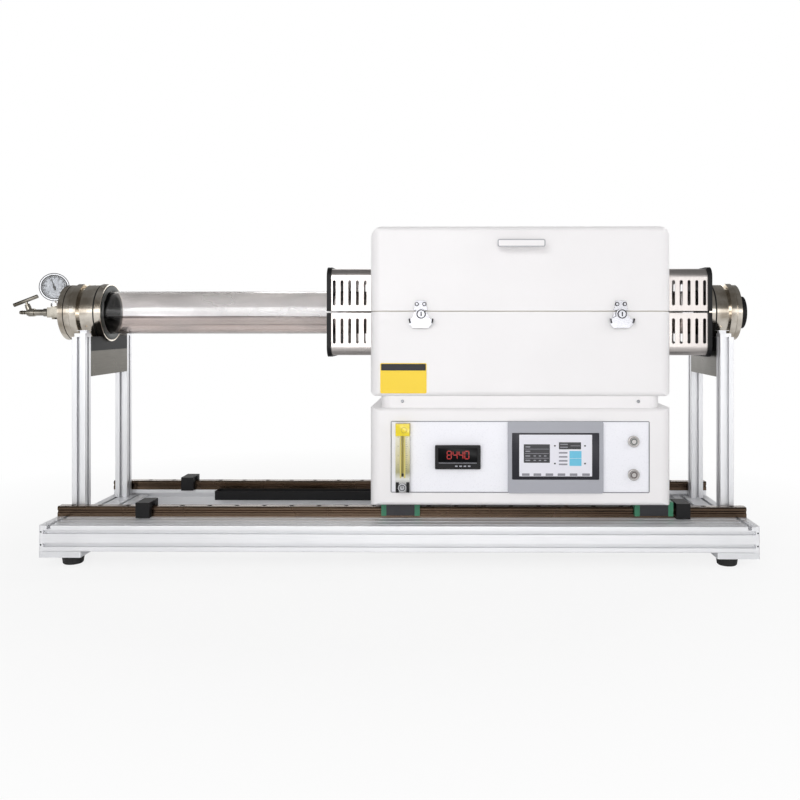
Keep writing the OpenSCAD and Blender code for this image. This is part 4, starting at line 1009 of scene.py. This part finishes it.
# %% Scale of the flow meter
SCALE_FREE = 10 * MM
SCALE_FOOT = flow.lo.z + FLOW_SEAT + SCALE_FREE
SCALE_H = FLOW_BORE_H - 2 * SCALE_FREE
SCALE_STEPS = 20
mark = plate(3.2 * MM, 0.45 * MM, INK)
places = []
for i in range(SCALE_STEPS + 1):
    reach = 1.5 if i % 5 == 0 else 1.0
    spot = (FLOW_X + (6.2 + 1.6 * reach) * MM, FLOW_FRONT, SCALE_FOOT + i * SCALE_H / SCALE_STEPS)
    places.append(Matrix.Translation(spot) @ Matrix.Scale(reach, 4, (1, 0, 0)))
finish_piece(row(mark, places, "flow_scale_marks"), ink_black, "furnace")

figures = []
for i in (1, 2, 3, 4):
    figure = lettering(str(i), 4.2 * MM)
    carry(figure, (FLOW_X - 9.5 * MM, FLOW_FRONT - INK / 2, SCALE_FOOT + i * SCALE_H / 4))
    figures.append(figure)
finish_piece(joined(figures, "flow_scale_figures"), ink_black, "furnace")

# %% Yellow upper block and dark cheeks at the foot
TOP_H = 25 * MM
TOP_T = 1.2 * MM
block_finish = moulded("yellow_acrylic_block", "#ecd52c", 0.16)
top = plate(29.0 * MM, TOP_H, TOP_T, 1.5 * MM)
round_off(top, 0.4 * MM)
place = (FLOW_X, FLOW_FRONT, flow.hi.z - TOP_H / 2 - 0.3 * MM)
put(top, place, "flow_top_block", block_finish, "furnace")
olive = moulded("olive_ring", "#a8952a", 0.4)
groove = ring(6.2 * MM, 5.4 * MM, 0.3 * MM, sides=32, bevel=0.08 * MM)
place = (FLOW_X + 3 * MM, FLOW_FRONT - TOP_T, flow.hi.z - 13 * MM)
put(groove, place, "flow_top_ring", olive, "furnace")

side_strip = plate(3.2 * MM, FLOW_BORE_H - 2 * MM, 0.25 * MM, 0.8 * MM)
places = [Vector((x, FLOW_FRONT, strip_z)) for x in (FLOW_X - STRIP_OFF, FLOW_X + STRIP_OFF)]
finish_piece(row(side_strip, places, "flow_side_strips"), glowing_strip_material, "furnace")

cheek = plate(6.5 * MM, 22 * MM, 0.8 * MM, 1 * MM)
round_off(cheek, 0.25 * MM)
places = [Vector((FLOW_X + side * 11 * MM, FLOW_FRONT, flow.lo.z + 11.5 * MM)) for side in (-1, 1)]
finish_piece(row(cheek, places, "flow_foot_cheeks"), black_abs, "furnace")

# %% Knurling of the flow meter's knob
knob = Span("flow_meter_knob")
KNOB_R = knob.size.x / 2
RIDGES = 30
SUNK = 0.1 * MM
ridge = plate(1.0 * MM, 9 * MM, 0.5 * MM, 0.3 * MM)
carry(ridge, turned_to((0, 0, 1)))
centre = (knob.mid.x, knob.lo.y + 6.5 * MM, knob.mid.z)
places = around(centre, "Y", (0, 0, KNOB_R - SUNK), RIDGES)
finish_piece(row(ridge, places, "flow_knob_ridges"), chrome, "flow_knob")

face_ring = ring(6.4 * MM, 5.0 * MM, 0.4 * MM, sides=40, bevel=0.1 * MM)
place = (knob.mid.x, knob.lo.y, knob.mid.z)
put(face_ring, place, "flow_knob_ring", black_screw, "flow_knob")
pointer = plate(1.4 * MM, 4.4 * MM, 0.4 * MM, 0.4 * MM)
place = (knob.mid.x, knob.lo.y, knob.mid.z + 1.6 * MM)
put(pointer, place, "flow_knob_pointer", black_screw, "flow_knob")

# %% [markdown]
# ## The instrument panel's edge
#
# The white panel is set behind the window of the cabinet's front. The shade at the window's edge is
# painted as a thin grey line round the window. It is an open plate.

# %% Painted shade line round the window
OPENING_W = 547 * MM
OPENING_H = 152 * MM
FIT = 0.6 * MM
recess_shade_grey = moulded("grey_recess_shade", "#85868b", 0.6)
recess_shade = open_plate(OPENING_W - FIT, OPENING_H - FIT, 1.4 * MM, 1.0 * MM, 1.5 * MM)
place = (FURNACE_X - 1 * MM, FRONT_Y + 2 * MM, screen.mid.z)
put(recess_shade, place, "window_recess_shade", recess_shade_grey, "furnace")

# %% [markdown]
# ## Push buttons
#
# The start and stop buttons are stainless: a domed ring that is screwed to the panel, and a flat cap
# with a lit ring let into it. The lit rings ride on the buttons, so they go in when these are
# pressed. The shade in the gap between cap and rim is painted as a black ring.

# %% Rings of the push buttons
BUTTONS = (("start_button", "#39423d"), ("stop_button", "#4a3d3c"))
for node, colour in BUTTONS:
    button = Span(node)
    face = Vector((button.mid.x, button.lo.y, button.mid.z))
    lit = ring(7.0 * MM, 4.6 * MM, 0.4 * MM, bevel=0.1 * MM)
    light = display(node + "_light", colour, 0.1)
    put(lit, face, node + "_lit_ring", light, node)

rings = Span("button_rings")
seat = ring(11.6 * MM, 8.6 * MM, 1.0 * MM, bevel=0.4 * MM)
places = [Vector((rings.mid.x, rings.lo.y, Span(node).mid.z)) for node, _ in BUTTONS]
finish_piece(row(seat, places, "button_ring_rims"), satin_steel, "furnace")

# Painted shade: a black ring in the gap between cap and rim.
gap = ring(8.7 * MM, 7.9 * MM, 0.5 * MM, bevel=0.08 * MM)
places = [place - Vector((0, 0.6 * MM, 0)) for place in places]
finish_piece(row(gap, places, "button_gap_shade_rings"), black_abs, "furnace")

# %% [markdown]
# ## Latches
#
# Each latch is a bright butterfly wing that turns on a hub. What the eye reads first is the shade
# round the hub, in the slot across it and on the edges of the two folded ears, so this painted shade,
# dark rings and plates, is added to the wing and turns with it. The painted shadow line round each of
# the keeper's bolts lies at its foot, so the wing passes over it when it turns.

# %% Painted shade round the hub, in its slot and on the ear edges
# Painted shade: dark lines round the latch hubs, in their slots, on the ear edges and at the bolts.
painted_shadow_line = moulded("shadow_line_grey", "#29292c", 0.7, Specular_IOR_Level=0.2)
EAR_OUT = 52 * MM / 2 - 2.2 * MM
EAR_DOWN = 14.5 * MM
EAR_LEAN = math.radians(12)
for body in ("left_latch", "right_latch"):
    wing = Span(body + "_wing")
    hub_z = wing.hi.z - 11 * MM
    hub_face = wing.hi.y - 6 * MM
    hub = ring(9.7 * MM, 7.7 * MM, 0.5 * MM, sides=40, bevel=0.1 * MM)
    place = (wing.mid.x, hub_face, hub_z)
    put(hub, place, body + "_hub_shadow_ring", painted_shadow_line, body)
    slot = plate(2.2 * MM, 9 * MM, 0.5 * MM, 0.5 * MM)
    place = (wing.mid.x, hub_face - 0.9 * MM, hub_z)
    put(slot, place, body + "_hub_slot_shadow", painted_shadow_line, body)
    ear = plate(3.0 * MM, 10 * MM, 0.5 * MM, 1.2 * MM)
    places = []
    for side in (-1, 1):
        spot = (wing.mid.x + side * EAR_OUT, wing.lo.y, hub_z - EAR_DOWN)
        places.append(Matrix.Translation(spot) @ Matrix.Rotation(side * EAR_LEAN, 4, "Y"))
    finish_piece(row(ear, places, body + "_ear_edge_shadows"), painted_shadow_line, body)

# %% Painted shadow rings at the feet of the keepers' bolts
LATCH_OUT = 211 * MM
BOLT_OUT = 8 * MM
BOLT_Z = AXIS_Z + 15 * MM
KEEPER_T = 4 * MM
foot = ring(4.4 * MM, 3.0 * MM, 1.6 * MM, sides=24, bevel=0.08 * MM)
places = []
for side in (-1, 1):
    for out in (-BOLT_OUT, BOLT_OUT):
        places.append(Vector((FURNACE_X + side * LATCH_OUT + out, FRONT_Y - KEEPER_T, BOLT_Z)))
finish_piece(row(foot, places, "keeper_bolt_shadow_rings"), painted_shadow_line, "lid")

# %% [markdown]
# ## The lid's handle
#
# The handle is folded from the same white sheet. The shade on its turned-in edge is painted as a grey
# line all round its front. The line is an open plate.

# %% Painted shade round the handle's edge
handle = Span("lid_handle")
edge = open_plate(handle.size.x - FIT, handle.size.z - FIT, 0.5 * MM, 4 * MM, 2.2 * MM)
place = (handle.mid.x, handle.lo.y, handle.mid.z)
put(edge, place, "lid_handle_shade_line", handle_shade_grey, "lid")

# %% [markdown]
# ## Seals round the tube
#
# The tube is held by rubber that is squeezed between the clamp ring and the sleeve. It shows as a black
# band in the joint behind the ring. The dark face round the tube inside each clamp ring is painted
# shade, and so is a thin dark liner round each end of the tube, which shows through the quartz.

# %% Painted shade faces and liners, and seal bands
clamp = Span("clamp_rings")
TUBE_R = tube.size.z / 2
RING_T = 15 * MM
SLEEVE_R = 65 * MM
# Painted shade: dark faces inside the clamp rings and dark liners at the tube's ends.
green_black = moulded("green_black_painted_shade", "#16201c", 0.4)
face = ring(64.4 * MM, TUBE_R + 0.4 * MM, 1.0 * MM)
places = []
for end in (-1, 1):
    x = clamp.mid.x + end * (clamp.size.x / 2 - RING_T)
    places.append(Matrix.Translation((x, 0, AXIS_Z)) @ turned_to((-end, 0, 0)))
finish_piece(row(face, places, "tube_seal_shade_faces"), green_black, "base")

shade_liners = []
for end, stop in ((-1, tube.lo.x), (1, tube.hi.x)):
    x = clamp.mid.x + end * (clamp.size.x / 2 - RING_T + 0.5 * MM)
    shade_liner = ring(TUBE_R + 0.24 * MM, TUBE_R + 0.06 * MM, abs(stop - x), bevel=0.02 * MM)
    carry(shade_liner, Matrix.Translation((x, 0, AXIS_Z)) @ turned_to((end, 0, 0)))
    shade_liners.append(shade_liner)
finish_piece(joined(shade_liners, "tube_seal_liners"), green_black, "base")

seal_band = ring(SLEEVE_R + 1.6 * MM, SLEEVE_R - 1.5 * MM, 4.2 * MM, bevel=0.8 * MM)
places = []
for end in (-1, 1):
    x = clamp.mid.x + end * (clamp.size.x / 2 - 0.1 * MM)
    places.append(Matrix.Translation((x, 0, AXIS_Z)) @ turned_to((end, 0, 0)))
finish_piece(row(seal_band, places, "tube_seal_bands"), seal_rubber, "base")

# %% [markdown]
# ## The yellow plate on the casing
#
# A small enamelled plate is fixed under the left latch: yellow, with a black field along its upper
# edge. It is left blank here. Its rim is inset and the middle is lowered, as on a pressed plate.

# %% Yellow plate
PLATE_X = FURNACE_X - 247.4 * MM
PLATE_Z = AXIS_Z - 141.7 * MM
PLATE_W = 98 * MM
PLATE_H = 64 * MM
BAND_H = 14 * MM
BAND_IN = 1.7 * MM
yellow = plate(PLATE_W, PLATE_H, 0.8 * MM, 2.5 * MM)
sink_middle(yellow, 1.6 * MM, 0.3 * MM)
place = (PLATE_X, FRONT_Y, PLATE_Z)
put(yellow, place, "yellow_plate", plate_yellow, "furnace")

band = plate(PLATE_W - 2 * BAND_IN, BAND_H, 0.25 * MM, 1.2 * MM)
place = (PLATE_X, FRONT_Y - 0.5 * MM, PLATE_Z + PLATE_H / 2 - BAND_IN - BAND_H / 2)
put(band, place, "yellow_plate_band", ink_black, "furnace")

# %% [markdown]
# ## The plinth
#
# The cabinet stands on a lower plinth, which is screwed to it through its front and back with two
# cap screws each.

# %% Screws of the plinth
plinth = Span("plinth")
SCREW_OUT = 250 * MM
screw = cap_screw(3.4 * MM, 2.2 * MM)
places = []
for side, y in ((-1, plinth.lo.y), (1, plinth.hi.y)):
    for out in (-SCREW_OUT, SCREW_OUT):
        spot = (FURNACE_X + out, y, plinth.mid.z + 1.5 * MM)
        places.append(Matrix.Translation(spot) @ turned_to((0, side, 0)))
finish_piece(row(screw, places, "plinth_screws"), zinc, "furnace")

# %% [markdown]
# ## The back of the cabinet
#
# The back isn't seen from the front but it is a real part of the machine: a mains inlet with its
# three pins, a cable gland with a hexagonal nut, and a panel closed by eight screws.

# %% Pins of the mains inlet
INLET_Z = cabinet.mid.z + 30 * MM
PIN_Y = BACK_Y + 2 * MM
PINS = ((-8, -4), (0, 5), (8, -4))
pin = plate(2.0 * MM, 6.3 * MM, 8.5 * MM, 0.4 * MM)
round_off(pin, 0.3 * MM)
carry(pin, turned_to((0, 1, 0)))
places = [Vector((FURNACE_X + x * MM, PIN_Y, INLET_Z + z * MM)) for x, z in PINS]
finish_piece(row(pin, places, "inlet_pins"), zinc, "furnace")

# %% Gland nut and rear screws
GLAND_Z = cabinet.mid.z - 30 * MM
nut = ring(16.5 * MM, 13.05 * MM, 7 * MM, sides=6, bevel=0.6 * MM)
carry(nut, turned_to((0, 1, 0)))
place = (FURNACE_X, BACK_Y + 0.1 * MM, GLAND_Z)
put(nut, place, "gland_nut", black_abs, "furnace")

rear = Span("rear_panel")
screw = cap_screw(3.2 * MM, 2.0 * MM)
places = []
for x in (-0.46, -0.16, 0.16, 0.46):
    for z in (-0.42, 0.42):
        spot = Vector((rear.mid.x + x * rear.size.x, rear.hi.y, rear.mid.z + z * rear.size.z))
        places.append(Matrix.Translation(spot) @ turned_to((0, 1, 0)))
finish_piece(row(screw, places, "rear_panel_screws"), zinc, "furnace")

# %% [markdown]
# ## The port's cap
#
# A plain plug of black plastic closes the vacuum port. Two raised rings and a grip of shallow ribs
# keep it from looking like a bare disc, and they ride with it when it is pulled off.

# %% Rings and ribs of the port cap
cap = Span("port_cap")
CAP_R = cap.size.z / 2
for radius in (0.82, 0.42):
    rim = ring(radius * CAP_R, radius * CAP_R - 2.4 * MM, 0.9 * MM)
    carry(rim, turned_to((1, 0, 0)))
    place = (cap.hi.x, cap.mid.y, cap.mid.z)
    put(rim, place, "port_cap_ring", black_abs, "port_cap")

RIBS = 48
rib = plate(2.0 * MM, 9 * MM, 0.6 * MM, 0.4 * MM)
carry(rib, Matrix.Rotation(math.radians(90), 4, "Y"))
centre = (cap.hi.x - 8 * MM, cap.mid.y, cap.mid.z)
places = around(centre, "X", (0, SUNK - CAP_R, 0), RIBS)
finish_piece(row(rib, places, "port_cap_ribs"), black_abs, "port_cap")

# %% [markdown]
# ## Light and floor
#
# A white studio: a large soft light above the front, a low one under it, weaker ones from the side
# and the back, and a world that lights the rest. What the camera and glass see of the world is plain
# white. What mirrors see is a bright strip of white just over the horizon and a dim studio overhead,
# which gives the turned flanges their bright band between darker ones. The floor shows itself mostly
# as white light near its edge, so it runs into the backdrop, and more as white paint round the feet,
# so it keeps the shadow.

# %% Lights


def area_light(name, place, target, size, power):
    """A soft box at place that faces target, with its width and height in metres. Watts."""
    data = bpy.data.lights.new(name, "AREA")
    data.shape, data.size, data.size_y, data.energy = "RECTANGLE", size[0], size[1], power
    light = bpy.data.objects.new(name, data)
    light.location = place
    light.rotation_euler = (Vector(target) - Vector(place)).to_track_quat("-Z", "Y").to_euler()
    bpy.context.scene.collection.objects.link(light)
    print("made", name, "of", power, "W")


area_light("key_light", (-0.7, -3.2, 1.55), (0.1, 0, 0.35), (2.2, 1.2), 35)
area_light("low_fill", (0.25, -2.8, 0.3), (0.2, 0, 0.1), (1.8, 0.4), 11)
area_light("side_light", (2.8, -1.2, 1.4), (0.2, 0, 0.4), (1.2, 1.6), 10)
area_light("back_light", (0.2, 2.4, 2.2), (0.1, 0, 0.5), (2.4, 1.0), 14)

# %% World
STUDIO = ((0.0, "#ffffff"), (0.18, "#ffffff"), (0.26, "#77777a"), (0.5, "#5f5f62"), (1.0, "#5a5a5d"))
STUDIO_STRENGTH = 2.0
LAMP_STRENGTH = 0.44
world = bpy.data.worlds.new("studio")
world.use_nodes = True
bpy.context.scene.world = world
tree = world.node_tree
tree.nodes.clear()
direction = add_node(tree, "ShaderNodeTexCoord").outputs["Generated"]
height = add_node(tree, "ShaderNodeSeparateXYZ", {0: direction}).outputs[2]
studio = add_node(tree, "ShaderNodeValToRGB", {0: height})
fill_ramp(studio, STUDIO)
brightness = add_node(tree, "ShaderNodeMath", {
    0: studio.outputs[0], 1: STUDIO_STRENGTH}, operation="MULTIPLY")
rays = add_node(tree, "ShaderNodeLightPath")
direct = add_node(tree, "ShaderNodeMath", {
    0: rays.outputs["Is Camera Ray"], 1: rays.outputs["Is Transmission Ray"]}, operation="MAXIMUM")
WHITE = linear("#ffffff")
lamp = add_node(tree, "ShaderNodeBackground", {"Color": WHITE, "Strength": LAMP_STRENGTH})
mirrored = add_node(tree, "ShaderNodeBackground", {"Color": WHITE, "Strength": brightness.outputs[0]})
backdrop = add_node(tree, "ShaderNodeBackground", {"Color": WHITE, "Strength": 1.0})
lit = add_node(tree, "ShaderNodeMixShader", {
    0: rays.outputs["Is Glossy Ray"], 1: lamp.outputs[0], 2: mirrored.outputs[0]})
either = add_node(tree, "ShaderNodeMixShader", {
    0: direct.outputs[0], 1: lit.outputs[0], 2: backdrop.outputs[0]})
add_node(tree, "ShaderNodeOutputWorld", {0: either.outputs[0]})
print("made world", world.name)

# %% Floor
bpy.ops.object.select_all(action="DESELECT")
bpy.ops.mesh.primitive_plane_add(size=60, location=(0, 0, 0))
floor = bpy.context.object
floor.name = "floor"
floor_paint, tree, shader, place = new_material("floor_paint", "#f4f4f4", roughness=0.9)
reach = add_node(tree, "ShaderNodeVectorMath", {0: place}, operation="LENGTH")
fade = add_node(tree, "ShaderNodeMapRange", {
    "Value": reach.outputs["Value"], "From Min": 0.7, "From Max": 1.5, "To Min": 0.82, "To Max": 1.0})
glow = add_node(tree, "ShaderNodeEmission", {"Color": WHITE, "Strength": 1.0})
rays = add_node(tree, "ShaderNodeLightPath")
far = add_node(tree, "ShaderNodeMapRange", {
    "Value": reach.outputs["Value"], "From Min": 1.4, "From Max": 3.2, "To Min": 0.2, "To Max": 0.9})
seen = add_node(tree, "ShaderNodeMath", {
    0: rays.outputs["Is Camera Ray"], 1: fade.outputs[0]}, operation="MULTIPLY")
share = add_node(tree, "ShaderNodeMath", {
    0: rays.outputs["Is Glossy Ray"], 1: far.outputs[0], 2: seen.outputs[0]}, operation="MULTIPLY_ADD")
both = add_node(tree, "ShaderNodeMixShader", {
    0: share.outputs[0], 1: shader.outputs[0], 2: glow.outputs[0]})
tree.links.new(both.outputs[0], tree.nodes["Material Output"].inputs["Surface"])
floor.data.materials.append(floor_paint)
bpy.context.scene.view_settings.view_transform = "Standard"
print("stage is set")
